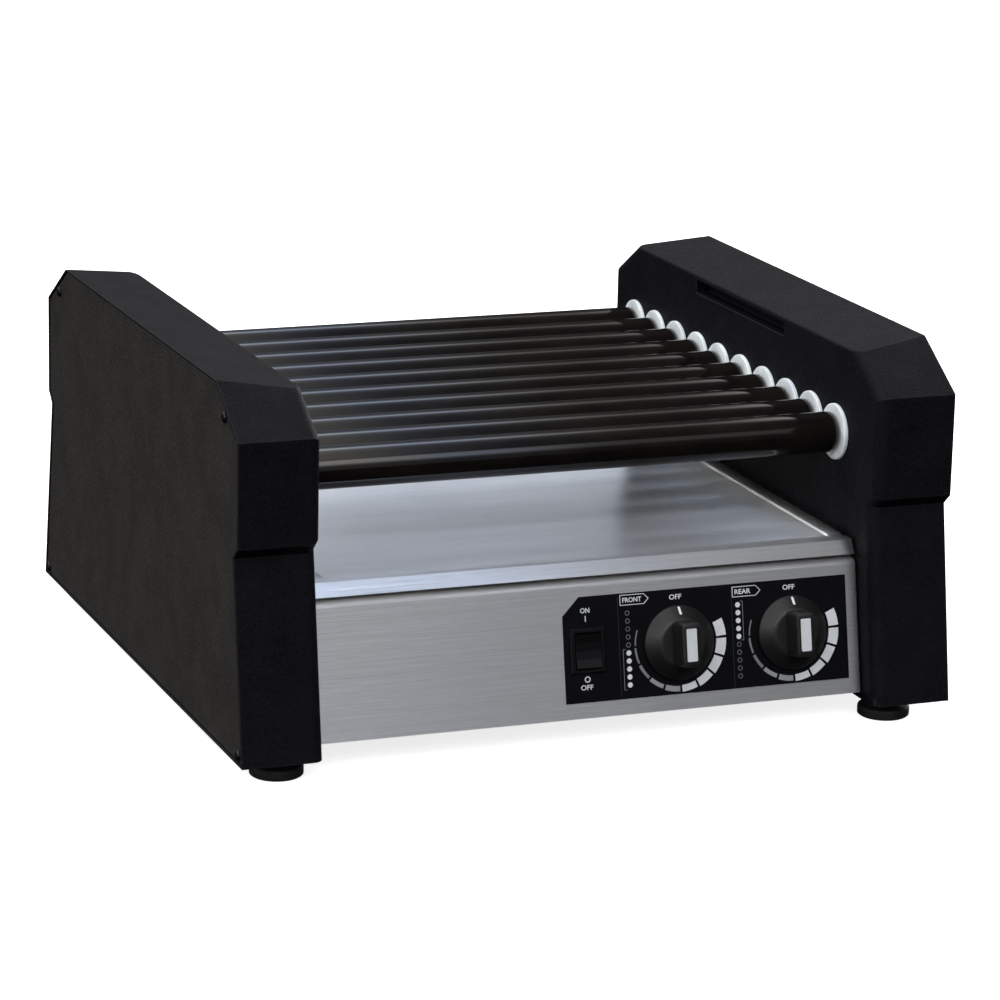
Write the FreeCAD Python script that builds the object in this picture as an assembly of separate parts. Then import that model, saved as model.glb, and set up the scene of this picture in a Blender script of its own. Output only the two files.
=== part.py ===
import FreeCAD, Part
import math
import os

from FreeCAD import Placement, Rotation, Vector

os.makedirs("parts", exist_ok=True)

# Counter-top roller grill. Millimetres, +X to the viewer's right, +Y to the rear, +Z up.
# The origin is the centre of the footprint at counter level.

# Overall
WIDTH = 455.0
HALF_WIDTH = WIDTH / 2
COVER_WIDTH = 50.5
WALL_X = HALF_WIDTH - COVER_WIDTH       # inner face of each side cover
COVER_BOTTOM = 14.4                     # the feet lift the covers this far
GAP = 0.1                               # working gap between fixed neighbours

# Side covers: half profile from the top edge down to the base, (distance from centre, height)
COVER_TOP = 232.7
COVER_TOP_INNER = 226.4
COVER_TOP_HALF = 164.0                  # half length of the top edge
COVER_SHOULDER = (208.2, 205.5)         # foot of the long chamfer
COVER_WAIST_HIGH = (208.2, 142.4)
COVER_WAIST_LOW = (200.4, 135.5)
COVER_BASE_HALF = 219.7
COVER_HALF_PROFILE = [(COVER_TOP_HALF, COVER_TOP), COVER_SHOULDER, COVER_WAIST_HIGH, COVER_WAIST_LOW,
                      (COVER_BASE_HALF, COVER_BOTTOM)]
COVER_RETURN = 3.0                      # width of the return round the open base
COVER_SHEET = 1.5
INNER_EDGE_RADIUS = 7.0
TOP_EDGE_RADIUS = 1.5
PANEL_INSET = 2.3                       # side panel edge in from the rim of the cover
PANEL_SHEET = 1.5
PANEL_RECESS = 0.8
RIM_FLANGE = 10.0
SIDE_SCREWS = [(-181.0, 214.6), (181.0, 214.6), (-210.8, 20.6), (210.8, 20.6)]
SIDE_SCREW_RADIUS = 1.9
SIDE_SCREW_HEAD = 3.3
SIDE_SCREW_HEAD_HEIGHT = 2.1
SIDE_SCREW_LENGTH = 7.0

# Lifting recess in the inner face of each cover
RECESS_HALF_LENGTH = 69.0
RECESS_LOW = 214.8
RECESS_HIGH = 223.8
RECESS_DEPTH = 10.0

# Roller row
ROLLER_COUNT = 10
ROLLER_PITCH = 35.3
ROLLER_FRONT_Y = -149.4
ROLLER_Z = 172.0
ROLLER_RADIUS = 12.7
ROLLER_WALL = 1.2
ROLLER_END_X = 172.6
PLUG_LENGTH = 8.0
JOURNAL_RADIUS = 8.0
JOURNAL_BORE = 5.6
JOURNAL_LEFT_X = -186.0
JOURNAL_RIGHT_X = 199.5
RUN_CLEARANCE = 0.05

# Flanged bushes
BUSH_FLANGE_RADIUS = 17.4
BUSH_FLANGE_LENGTH = 2.4
BUSH_FLANGE_CHAMFER = 0.6
BUSH_HUB_RADIUS = 11.0
BUSH_HUB_END = WALL_X + 6.5
BUSH_SEAT = 0.05                        # flange stands this far off the cover

# Inner frame plates
FRAME_X = WALL_X + COVER_SHEET + 0.5
FRAME_SHEET = 2.0
FRAME_HALF_LENGTH = 197.0
FRAME_BOTTOM = COVER_BOTTOM + 2.0
FRAME_TOP = 204.0
FRAME_FLANGE = 20.0
FRAME_SHOULDER_Z = 140.0
FRAME_STEP = 6.0                        # the plate is this much shorter below its shoulder
FRAME_WINDOW = (-28.0, 48.0, 36.0, 94.0)
LIGHTENING_SLOT = (45.0, 30.0)          # length and height of the two holes in each frame plate
LIGHTENING_SLOT_Z = 60.0
LIGHTENING_SLOTS_Y = (-159.4, 79.45)

# Chain drive, in the right-hand housing
CHAIN_PITCH = 6.35
SPROCKET_TEETH = 15
SPROCKET_X = 191.0
SPROCKET_THICKNESS = 3.0
SPROCKET_HUB_RADIUS = 11.5
SPROCKET_HUB_LENGTH = 7.0
SPROCKET_TIP_RADIUS = 16.4
SPROCKET_ROOT_RADIUS = 13.6
SPROCKET_FLANK = 0.30                   # half width of a tooth at its root, in tooth steps
SPROCKET_LAND = 0.09                    # half width of a tooth at its tip, in tooth steps
SPROCKET_FIT = 0.02
CHAIN_CLEARANCE = 0.5
CHAIN_HEIGHT = 3.0
CHAIN_PLATE = 0.9
CHAIN_SIDE_GAP = 1.2
CHAIN_PIN_RADIUS = 1.1
CHAIN_PIN_PITCH = 2 * CHAIN_PITCH

# Gear motor
MOTOR_Y = 9.45
MOTOR_Z = 65.0
GEARBOX = (34.0, 60.0, 54.0)
MOTOR_RADIUS = 25.0
MOTOR_LENGTH = 58.0
MOTOR_BOSS = (8.0, 5.0)                 # radius and length
MOTOR_SHAFT_RADIUS = 5.0
MOTOR_SHAFT_DEPTH = 11.0                # length of shaft inside the gearbox
GEARBOX_CORNER = 5.0

# Heaters inside the rollers
HEATER_RADIUS = 4.0
HEATER_HALF_LENGTH = 213.0
HEATER_BAR_X = 204.0
HEATER_BAR_THICKNESS = 7.0
HEATER_BAR_HEIGHT = 16.0
HEATER_LEG_RADIUS = 2.4
HEATER_LEG_OFFSET = 25.2
HEATER_BAR_OVERHANG = 4.0

# Housing floor plates and feet
FLOOR_SHEET = 1.5
FLOOR_GAP = 0.3
FOOT_X = 197.4
FOOT_Y = 191.0
FOOT_RADIUS = 16.1
FOOT_NECK_RADIUS = 10.5
FOOT_DISC = 6.5
FOOT_CHAMFER = 1.5
FOOT_STUD_RADIUS = 4.0
FOOT_STUD_TOP = 26.0

# Front panel: outer face runs up and back from its lower edge
PANEL_BASE_Y = -202.2
PANEL_BASE_Z = 19.4
PANEL_HEIGHT = 82.5
PANEL_TILT = 11.2
PANEL_HALF_LENGTH = WALL_X - 0.7
PANEL_DEPTH = 15.0
CABINET_SHEET = 1.2
PANEL_EDGE_RADIUS = 4.0                 # rolled top edge
PANEL_END_RADIUS = 1.0                  # folded ends

# Controls, placed on the panel face as (across, up)
OVERLAY_LEFT = -18.8
OVERLAY_RIGHT = 168.2
OVERLAY_LOW = 9.6
OVERLAY_HIGH = 73.4
OVERLAY_CUT = 11.0
OVERLAY_THICKNESS = 0.4
KNOB_UP = 41.0
KNOB_ACROSS = {"front": 55.3, "rear": 130.5}
KNOB_SKIRT_RADIUS = 22.6
KNOB_RIM = 1.4
KNOB_FACE_RADIUS = 14.6
KNOB_FACE_HEIGHT = 9.0
KNOB_GAP = 1.0
KNOB_GRIP_ROOT = (13.8, 27.6)           # width and length of the grip bar at its root
KNOB_GRIP_TOP = (12.0, 26.8, 22.0)      # width, length and height of its top
KNOB_INLAY = (6.6, 19.8, 0.6)
KNOB_BORE_DEPTH = 12.0
SPINDLE_RADIUS = 3.0
SWITCH_ACROSS = -3.8
SWITCH_UP = 40.8
SWITCH_BEZEL = (22.6, 27.4, 2.0)
SWITCH_OPENING = (17.0, 22.6)
SWITCH_BODY = (20.0, 24.6, 20.0)
ROCKER_TIP = 7.0                        # degrees either side of level
ROCKER_PIVOT_DEPTH = 2.0
ROCKER_SIDE_GAP = 0.4
ROCKER_END_GAP = 1.2
ROCKER_CREST = 3.8                      # height of the two ends over the panel face
ROCKER_WAIST = 2.6                      # height at the middle
ROCKER_KEEL = (3.0, 5.6)                # half length and depth of the underside
SWITCH_POCKET = 9.0
SWITCH_TAB = (0.8, 5.0, 7.0)
SWITCH_TABS = (-6.4, -0.4, 5.6)
SWITCH_CHAMFER = 0.9

# Heat controls behind the panel
CONTROL_SIDE = 38.0
CONTROL_DEPTH = 24.0
CONTROL_BACK = 28.0
CONTROL_CORNER = 3.0
CONTROL_NECK = (5.4, 3.0)               # radius and length
CONTROL_TAB = (0.8, 6.3, 8.0)
CONTROL_TABS = (-10.0, 9.2)
SPINDLE_DEPTH = 14.0                    # length of spindle behind the panel face

# Cabinet
REAR_PANEL_Y = 188.0
REAR_PANEL_FLANGE = 12.0
DECK_Z = 96.9
CABINET_GAP = 0.2
VENT_SLOT = (24.0, 3.5)
VENT_SLOTS_X = (-120.0, -84.0, -48.0, -12.0, 24.0, 60.0)
VENT_SLOTS_Z = (50.0, 60.0, 70.0)
PAN_RIM = 12.0
PAN_RIM_START = 20.0
PAN_SLOT = (30.0, 4.0)
PAN_SLOTS_X = (-130.0, -90.0, -50.0, -10.0, 30.0)
PAN_SLOTS_Y = (90.0, 102.0, 114.0)

# Power inlet in the rear panel
INLET_X = 138.0
INLET_Z = 42.0
INLET_BODY_RADIUS = 9.0
INLET_BORE = 5.5
INLET_FLANGE = (12.0, 3.0)              # radius and length
INLET_NOSE = (10.5, 8.5, 9.0)           # radius at the flange, radius at the tip, length
INLET_NUT_LENGTH = 4.0
INLET_INSIDE = 12.0                     # length of the body inside the cabinet

# Terminal block on the base pan
TERMINAL_X = (60.0, 112.0)
TERMINAL_Y = (120.0, 138.0)
TERMINAL_Z = (22.2, 36.0)
TERMINAL_SLOT = (7.0, 6.0)              # width and depth
TERMINAL_SLOTS_X = (63.5, 76.5, 89.5, 102.5)

# Drip tray
TRAY_TOP = 111.6
TRAY_SHEET = 1.2
TRAY_FLAT_HALF = 163.0
TRAY_STEP_RUN = 0.9                     # width of the step between the bed and the level rim
TRAY_RIM_HALF = 173.4
TRAY_RIM_RISE = 0.9
TRAY_RIM_FRONT_Y = -171.0
TRAY_LIP_Y = -181.0
TRAY_LIP_RUN = 4.7
TRAY_LIP_DROP = 8.2
TRAY_LIP_HALF = 175.2
TRAY_REAR_Y = 176.0
TRAY_REAR_RISE = 6.0
RAIL_GAP = 0.35
RAIL_WIDTH = 19.0
RAIL_HEIGHT = 9.0
RAIL_SHEET = 1.2
RAIL_FRONT_Y = -150.0
RAIL_REAR_GAP = 14.0


def save(name, shape):
    """Write one node of the assembly."""
    if not shape.isValid():
        raise ValueError("invalid shape " + name)
    shape.exportStep("parts/" + name + ".step")


def box(x0, x1, y0, y1, z0, z1):
    return Part.makeBox(x1 - x0, y1 - y0, z1 - z0, Vector(x0, y0, z0))


def cylinder_x(radius, x0, x1, y, z):
    return Part.makeCylinder(radius, x1 - x0, Vector(x0, y, z), Vector(1, 0, 0))


def face_yz(points, x):
    corners = [Vector(x, y, z) for y, z in points]
    return Part.Face(Part.makePolygon(corners + corners[:1]))


def prism_yz(points, x0, x1):
    """Solid with a profile in the side plane, drawn out across the machine."""
    return face_yz(points, x0).extrude(Vector(x1 - x0, 0, 0))


def prism_xz(points, y0, y1):
    """Solid with a profile in the front plane, drawn out from front to rear."""
    corners = [Vector(x, y0, z) for x, z in points]
    return Part.Face(Part.makePolygon(corners + corners[:1])).extrude(Vector(0, y1 - y0, 0))


def inset_prism(points, inset, x0, x1):
    outline = face_yz(points, x0)
    if inset:
        outline = outline.makeOffset2D(-inset, 2, False, False, False)
    return outline.extrude(Vector(x1 - x0, 0, 0))


def turned_x(points, y, z):
    """Body of revolution about a line across the machine; points are (x, radius)."""
    corners = [Vector(x, y + r, z) for x, r in points]
    face = Part.Face(Part.makePolygon(corners + corners[:1]))
    return face.revolve(Vector(0, y, z), Vector(1, 0, 0), 360)


def turned_z(points, x, y):
    """Body of revolution about an upright line; points are (radius, z)."""
    corners = [Vector(x + r, y, z) for r, z in points]
    face = Part.Face(Part.makePolygon(corners + corners[:1]))
    return face.revolve(Vector(x, y, 0), Vector(0, 0, 1), 360)


def mirrored(shape):
    return shape.mirror(Vector(0, 0, 0), Vector(1, 0, 0))


def both_sides(name, shape):
    """Write a right-hand piece and its left-hand mirror image."""
    save(name + "_right", shape)
    save(name + "_left", mirrored(shape))


def roller_positions():
    return [ROLLER_FRONT_Y + i * ROLLER_PITCH for i in range(ROLLER_COUNT)]


def cover_outline():
    return [(-y, z) for y, z in reversed(COVER_HALF_PROFILE)] + COVER_HALF_PROFILE


def above_cover_top(drop):
    """Everything above the falling top face of the right-hand cover, lowered by drop."""
    slope = (COVER_TOP - COVER_TOP_INNER) / COVER_WIDTH
    reach = 20.0
    x0 = WALL_X - reach
    x1 = HALF_WIDTH + reach
    low = COVER_TOP_INNER - slope * reach - drop
    high = COVER_TOP + slope * reach - drop
    top = COVER_TOP + 60.0
    return prism_xz([(x0, low), (x1, high), (x1, top), (x0, top)], -260.0, 260.0)


def on_inner_face(edge):
    return all(abs(v.X - WALL_X) < 1e-6 for v in edge.Vertexes)


def make_cover():
    outline = cover_outline()
    body = inset_prism(outline, 0, WALL_X, HALF_WIDTH).cut(above_cover_top(0))
    inner = [e for e in body.Edges if on_inner_face(e)]
    side = [e for e in inner if any(v.Z < COVER_TOP_INNER - 1 for v in e.Vertexes)
            and any(v.Z > COVER_BOTTOM + 1 for v in e.Vertexes)]
    body = body.makeFillet(INNER_EDGE_RADIUS, side)
    top = [e for e in body.Edges if on_inner_face(e) and all(v.Z > COVER_TOP_INNER - 1 for v in e.Vertexes)]
    body = body.makeFillet(TOP_EDGE_RADIUS, top)

    cavity_x = WALL_X + COVER_SHEET
    cavity = inset_prism(outline, COVER_SHEET, cavity_x, HALF_WIDTH + 1)
    cavity = cavity.cut(above_cover_top(COVER_SHEET))
    soft = [e for e in cavity.Edges if all(abs(v.X - cavity_x) < 1e-6 for v in e.Vertexes)
            and any(v.Z < COVER_TOP_INNER - 3 for v in e.Vertexes)
            and any(v.Z > COVER_BOTTOM + 3 for v in e.Vertexes)]
    cavity = cavity.makeFillet(INNER_EDGE_RADIUS - COVER_SHEET, soft)
    base_front = COVER_BASE_HALF - 2 * COVER_SHEET
    base_opening = box(cavity_x, HALF_WIDTH - COVER_RETURN, -base_front, base_front,
                       COVER_BOTTOM - 1, COVER_BOTTOM + 4)
    recess_wall = box(WALL_X, WALL_X + RECESS_DEPTH + COVER_SHEET,
                      -RECESS_HALF_LENGTH - COVER_SHEET, RECESS_HALF_LENGTH + COVER_SHEET,
                      RECESS_LOW - COVER_SHEET, COVER_TOP)
    recess = box(WALL_X - 1, WALL_X + RECESS_DEPTH, -RECESS_HALF_LENGTH, RECESS_HALF_LENGTH,
                 RECESS_LOW, RECESS_HIGH)
    shell = body.cut(cavity.cut(recess_wall)).cut(base_opening).cut(recess)

    flange_x = HALF_WIDTH - PANEL_RECESS - PANEL_SHEET - COVER_SHEET
    flange = inset_prism(outline, COVER_SHEET / 2, flange_x, flange_x + COVER_SHEET)
    flange = flange.cut(inset_prism(outline, RIM_FLANGE, flange_x - 1, flange_x + COVER_SHEET + 1))
    shell = shell.fuse(flange.common(body))

    holes = [cylinder_x(BUSH_HUB_RADIUS + GAP, WALL_X - 1, WALL_X + 4, y, ROLLER_Z)
             for y in roller_positions()]
    holes += [cylinder_x(SIDE_SCREW_RADIUS + GAP, flange_x - 1, flange_x + 3, y, z) for y, z in SIDE_SCREWS]
    y0, y1, z0, z1 = FRAME_WINDOW
    holes.append(box(WALL_X - 1, WALL_X + 4, y0, y1, z0, z1))
    return shell.cut(Part.Compound(holes)).removeSplitter()


def make_side_panel():
    x1 = HALF_WIDTH - PANEL_RECESS
    plate = inset_prism(cover_outline(), PANEL_INSET, x1 - PANEL_SHEET, x1)
    holes = [cylinder_x(SIDE_SCREW_RADIUS + GAP, x1 - 5, x1 + 1, y, z) for y, z in SIDE_SCREWS]
    return plate.cut(Part.Compound(holes))


def make_side_screw(y, z):
    """Pan-head screw pointing inwards through the side panel and rim flange."""
    x = HALF_WIDTH - PANEL_RECESS
    head = SIDE_SCREW_HEAD
    tip = x - SIDE_SCREW_LENGTH
    crown = x + SIDE_SCREW_HEAD_HEIGHT
    return turned_x([(tip, 0), (tip, SIDE_SCREW_RADIUS), (x, SIDE_SCREW_RADIUS), (x, head),
                     (crown - 1.0, head), (crown - 0.2, head * 0.7), (crown, head * 0.3), (crown, 0)], y, z)


def make_roller(y):
    """Tube with two end plugs and hollow journals; the right-hand journal is longer."""
    r = ROLLER_RADIUS
    inner = r - ROLLER_WALL
    x = ROLLER_END_X
    p = PLUG_LENGTH
    return turned_x([
        (JOURNAL_LEFT_X, JOURNAL_BORE), (JOURNAL_LEFT_X, JOURNAL_RADIUS), (-x, JOURNAL_RADIUS),
        (-x, r - 0.6), (-x + 0.6, r), (x - 0.6, r), (x, r - 0.6), (x, JOURNAL_RADIUS),
        (JOURNAL_RIGHT_X, JOURNAL_RADIUS), (JOURNAL_RIGHT_X, JOURNAL_BORE),
        (x - p, JOURNAL_BORE), (x - p, inner), (-x + p, inner), (-x + p, JOURNAL_BORE)], y, ROLLER_Z)


def make_sprocket(y, z, bore):
    """Toothed wheel with a hub, on a line across the machine."""
    step = 2 * math.pi / SPROCKET_TEETH
    outline = []
    for i in range(SPROCKET_TEETH):
        for part, radius in ((-SPROCKET_FLANK, SPROCKET_ROOT_RADIUS), (-SPROCKET_LAND, SPROCKET_TIP_RADIUS),
                             (SPROCKET_LAND, SPROCKET_TIP_RADIUS), (SPROCKET_FLANK, SPROCKET_ROOT_RADIUS)):
            a = (i + part) * step
            outline.append((y + radius * math.cos(a), z + radius * math.sin(a)))
    wheel = prism_yz(outline, SPROCKET_X, SPROCKET_X + SPROCKET_THICKNESS)
    hub = cylinder_x(SPROCKET_HUB_RADIUS, SPROCKET_X, SPROCKET_X + SPROCKET_HUB_LENGTH, y, z)
    return wheel.fuse(hub).cut(cylinder_x(bore, SPROCKET_X - 1, SPROCKET_X + 20, y, z)).removeSplitter()


def make_bush(y):
    x = WALL_X
    face = x - BUSH_FLANGE_LENGTH
    bore = JOURNAL_RADIUS + RUN_CLEARANCE
    r = BUSH_FLANGE_RADIUS
    seat = x - BUSH_SEAT
    return turned_x([(face, bore), (face, r - BUSH_FLANGE_CHAMFER), (face + BUSH_FLANGE_CHAMFER, r),
                     (seat, r), (seat, BUSH_HUB_RADIUS), (BUSH_HUB_END, BUSH_HUB_RADIUS),
                     (BUSH_HUB_END, bore)],
                    y, ROLLER_Z)


def make_frame():
    """Pressed plate that carries the bushes, with a foot flange turned outwards."""
    x = FRAME_X
    h = FRAME_HALF_LENGTH
    plate = box(x, x + FRAME_SHEET, -h, h, FRAME_BOTTOM, FRAME_TOP)
    flange = box(x, x + FRAME_FLANGE, -h, h, FRAME_BOTTOM, FRAME_BOTTOM + FRAME_SHEET)
    holes = [cylinder_x(BUSH_HUB_RADIUS + GAP, x - 1, x + 4, y, ROLLER_Z) for y in roller_positions()]
    slot_length, slot_height = LIGHTENING_SLOT
    z = LIGHTENING_SLOT_Z
    holes += [box(x - 1, x + 4, y, y + slot_length, z, z + slot_height) for y in LIGHTENING_SLOTS_Y]
    holes.append(cylinder_x(MOTOR_SHAFT_RADIUS + 2, x - 1, x + 4, MOTOR_Y, MOTOR_Z))
    holes += [Part.makeCylinder(FOOT_STUD_RADIUS + 4, 10, Vector(FOOT_X, s * FOOT_Y, FRAME_BOTTOM - 4))
              for s in (-1, 1)]
    corners = []
    for s in (-1, 1):
        outer = s * (h + 1)
        inner = s * (h - FRAME_STEP)
        below = FRAME_BOTTOM - 1
        corner = [(outer, FRAME_SHOULDER_Z), (inner, FRAME_SHOULDER_Z - FRAME_STEP),
                  (inner, below), (outer, below)]
        corners.append(prism_yz(corner, x - 1, x + FRAME_FLANGE + 1))
    return plate.fuse(flange).cut(Part.Compound(holes + corners)).removeSplitter()


def make_floor():
    """Flat plate that closes the foot of a side cover and carries two feet."""
    reach = COVER_BASE_HALF - 2 * COVER_SHEET - FLOOR_GAP
    x0 = WALL_X + COVER_SHEET + FLOOR_GAP
    x1 = HALF_WIDTH - PANEL_RECESS - PANEL_SHEET - COVER_SHEET - FLOOR_GAP
    z = COVER_BOTTOM + CABINET_GAP
    plate = box(x0, x1, -reach, reach, z, z + FLOOR_SHEET)
    holes = [Part.makeCylinder(FOOT_STUD_RADIUS + GAP, 10, Vector(FOOT_X, s * FOOT_Y, COVER_BOTTOM - 3))
             for s in (-1, 1)]
    return plate.cut(Part.Compound(holes))


def make_foot(x, y):
    """Rubber foot moulded on a levelling stud."""
    top = COVER_BOTTOM + 0.1
    c = FOOT_CHAMFER
    return turned_z([(0, 0), (FOOT_RADIUS - c, 0), (FOOT_RADIUS, c), (FOOT_RADIUS, FOOT_DISC - c),
                     (FOOT_RADIUS - c, FOOT_DISC), (FOOT_NECK_RADIUS + 1, FOOT_DISC + 1.2),
                     (FOOT_NECK_RADIUS, top), (FOOT_STUD_RADIUS, top), (FOOT_STUD_RADIUS, FOOT_STUD_TOP),
                     (0, FOOT_STUD_TOP)], x, y)


def chain_centres():
    return [(ROLLER_FRONT_Y, ROLLER_Z), (roller_positions()[-1], ROLLER_Z), (MOTOR_Y, MOTOR_Z)]


def chain_band(outer, inner, x0, x1):
    """Flat loop round the end sprockets and the motor sprocket, between two offsets of their centres."""
    loop = face_yz(chain_centres(), x0)
    wide = loop.makeOffset2D(outer, 0, False, False, False)
    narrow = loop.makeOffset2D(inner, 0, False, False, False)
    return wide.cut(narrow).extrude(Vector(x1 - x0, 0, 0))


def make_chain():
    """Two runs of link plates either side of the teeth, joined by cross pins outside the tooth tips."""
    inner = SPROCKET_TIP_RADIUS + CHAIN_CLEARANCE
    outer = inner + CHAIN_HEIGHT
    left = SPROCKET_X - CHAIN_SIDE_GAP
    right = SPROCKET_X + SPROCKET_THICKNESS + CHAIN_SIDE_GAP
    middle = face_yz(chain_centres(), left).makeOffset2D((inner + outer) / 2, 0, False, False, False)
    line = middle.Wires[0]
    count = int(line.Length / CHAIN_PIN_PITCH)
    pins = [cylinder_x(CHAIN_PIN_RADIUS, left, right, p.y, p.z)
            for p in line.discretize(Number=count + 1)[:-1]]
    plates = [chain_band(outer, inner, left - CHAIN_PLATE, left),
              chain_band(outer, inner, right, right + CHAIN_PLATE)]
    return Part.Compound(plates + pins)


def make_motor():
    """Gearbox bolted to the right-hand frame plate, with the motor can on its inner side."""
    x1 = FRAME_X
    depth, length, height = GEARBOX
    x0 = x1 - depth
    gearbox = box(x0, x1, MOTOR_Y - length / 2, MOTOR_Y + length / 2,
                  MOTOR_Z - height / 2, MOTOR_Z + height / 2)
    gearbox = gearbox.makeFillet(GEARBOX_CORNER, [e for e in gearbox.Edges if e.BoundBox.XLength > depth - 1])
    can_end = x0 - MOTOR_LENGTH
    can = cylinder_x(MOTOR_RADIUS, can_end, x0 + 1, MOTOR_Y, MOTOR_Z)
    boss_radius, boss_length = MOTOR_BOSS
    boss = cylinder_x(boss_radius, can_end - boss_length, can_end + 1, MOTOR_Y, MOTOR_Z)
    bore_start = x1 - MOTOR_SHAFT_DEPTH - 1
    bore = cylinder_x(MOTOR_SHAFT_RADIUS + RUN_CLEARANCE, bore_start, x1 + 1, MOTOR_Y, MOTOR_Z)
    return gearbox.fuse(can).fuse(boss).cut(bore).removeSplitter()


def make_heater_bar():
    """Insulating bar that holds the heater ends still, on two legs from the frame plate."""
    x0 = HEATER_BAR_X
    x1 = x0 + HEATER_BAR_THICKNESS
    front = ROLLER_FRONT_Y - HEATER_LEG_OFFSET
    rear = roller_positions()[-1] + HEATER_LEG_OFFSET
    half = HEATER_BAR_HEIGHT / 2
    over = HEATER_BAR_OVERHANG
    bore = HEATER_RADIUS + RUN_CLEARANCE
    bar = box(x0, x1, front - over, rear + over, ROLLER_Z - half, ROLLER_Z + half)
    legs = [cylinder_x(HEATER_LEG_RADIUS, FRAME_X + FRAME_SHEET, x0 + 1, y, ROLLER_Z) for y in (front, rear)]
    holes = [cylinder_x(bore, x0 - 1, x1 + 1, y, ROLLER_Z) for y in roller_positions()]
    return bar.multiFuse(legs).cut(Part.Compound(holes)).removeSplitter()


def panel_frame():
    """Placement with x across, y up the face and z straight out of the front panel."""
    return Placement(Vector(0, PANEL_BASE_Y, PANEL_BASE_Z), Rotation(Vector(1, 0, 0), 90 - PANEL_TILT))


def on_panel(shape, across=0.0, up=0.0, out=0.0):
    """Move a shape made at the origin to a place on the front panel."""
    placed = shape.copy()
    placed.Placement = panel_frame().multiply(Placement(Vector(across, up, out), Rotation()))
    return placed


def panel_solid(inset, top_radius, end_radius):
    """Front panel envelope, drawn in by the sheet thickness for its hollow."""
    half = PANEL_HALF_LENGTH - inset
    lean = math.tan(math.radians(PANEL_TILT))
    rise = PANEL_HEIGHT * math.cos(math.radians(PANEL_TILT))
    low = PANEL_BASE_Z + inset
    high = PANEL_BASE_Z + rise - inset
    skew = inset / math.cos(math.radians(PANEL_TILT))
    y_low = PANEL_BASE_Y + skew + inset * lean
    y_high = PANEL_BASE_Y + skew + (rise - inset) * lean
    back = inset if inset else 0.0
    body = prism_yz([(y_low, low), (y_high, high), (y_high + PANEL_DEPTH + back, high),
                     (y_low + PANEL_DEPTH + back, low)], -half, half)
    body = body.makeFillet(top_radius, [e for e in body.Edges if is_top_edge(e, y_high, high)])
    if end_radius:
        mid = (low + high) / 2
        body = body.makeFillet(end_radius, [e for e in body.Edges if is_end_edge(e, y_high, mid)])
    return body


def is_top_edge(edge, y_high, high):
    span = edge.BoundBox
    return abs(span.YMin - y_high) < 0.01 and span.YLength < 0.01 and abs(span.ZMin - high) < 0.01


def is_end_edge(edge, y_high, mid):
    """Left or right edge of the sloping face."""
    span = edge.BoundBox
    return span.XLength < 0.01 and span.ZMin < mid < span.ZMax and span.YMin < y_high - 5


def centred_box(width, height, low, high, x=0.0, y=0.0):
    """Block centred on a point of its face plane, from one level to another."""
    return Part.makeBox(width, height, high - low, Vector(x - width / 2, y - height / 2, low))


def control_holes():
    """Cutters for the switch and the two spindles, through the panel face."""
    width, height, depth = SWITCH_BODY
    low, high = -5.0, 3.0
    holes = [centred_box(width + 2 * GAP, height + 2 * GAP, low, high, SWITCH_ACROSS, SWITCH_UP)]
    holes += [Part.makeCylinder(SPINDLE_RADIUS + 1, high - low, Vector(across, KNOB_UP, low))
              for across in KNOB_ACROSS.values()]
    return on_panel(Part.Compound(holes))


def make_front_panel():
    shell = panel_solid(0.0, PANEL_EDGE_RADIUS, PANEL_END_RADIUS)
    shell = shell.cut(panel_solid(CABINET_SHEET, PANEL_EDGE_RADIUS - CABINET_SHEET, 0.0))
    return shell.cut(control_holes())


def make_overlay():
    corners = [(OVERLAY_LEFT, OVERLAY_LOW), (OVERLAY_RIGHT, OVERLAY_LOW), (OVERLAY_RIGHT, OVERLAY_HIGH),
               (OVERLAY_LEFT + OVERLAY_CUT, OVERLAY_HIGH), (OVERLAY_LEFT, OVERLAY_HIGH - OVERLAY_CUT)]
    points = [Vector(x, y, 0) for x, y in corners]
    sheet = Part.Face(Part.makePolygon(points + points[:1])).extrude(Vector(0, 0, OVERLAY_THICKNESS))
    return on_panel(sheet).cut(control_holes())


def make_switch_body():
    """Bezel on the overlay and an open-fronted case behind it."""
    width, height, out = SWITCH_BEZEL
    opening_w, opening_h = SWITCH_OPENING
    body_w, body_h, depth = SWITCH_BODY
    top = OVERLAY_THICKNESS + out
    bezel = centred_box(width, height, OVERLAY_THICKNESS, top)
    bezel = bezel.makeChamfer(SWITCH_CHAMFER, [e for e in bezel.Edges if e.BoundBox.ZMin > top - 0.01])
    case = centred_box(body_w, body_h, -depth, OVERLAY_THICKNESS + 0.5)
    hollow = centred_box(opening_w, opening_h, -SWITCH_POCKET, top + 1)
    tab_w, tab_h, tab_length = SWITCH_TAB
    tabs = [Part.makeBox(tab_w, tab_h, tab_length, Vector(x, -tab_h / 2, -depth - tab_length))
            for x in SWITCH_TABS]
    return on_panel(bezel.fuse(case).cut(hollow).multiFuse(tabs), SWITCH_ACROSS, SWITCH_UP)


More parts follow.
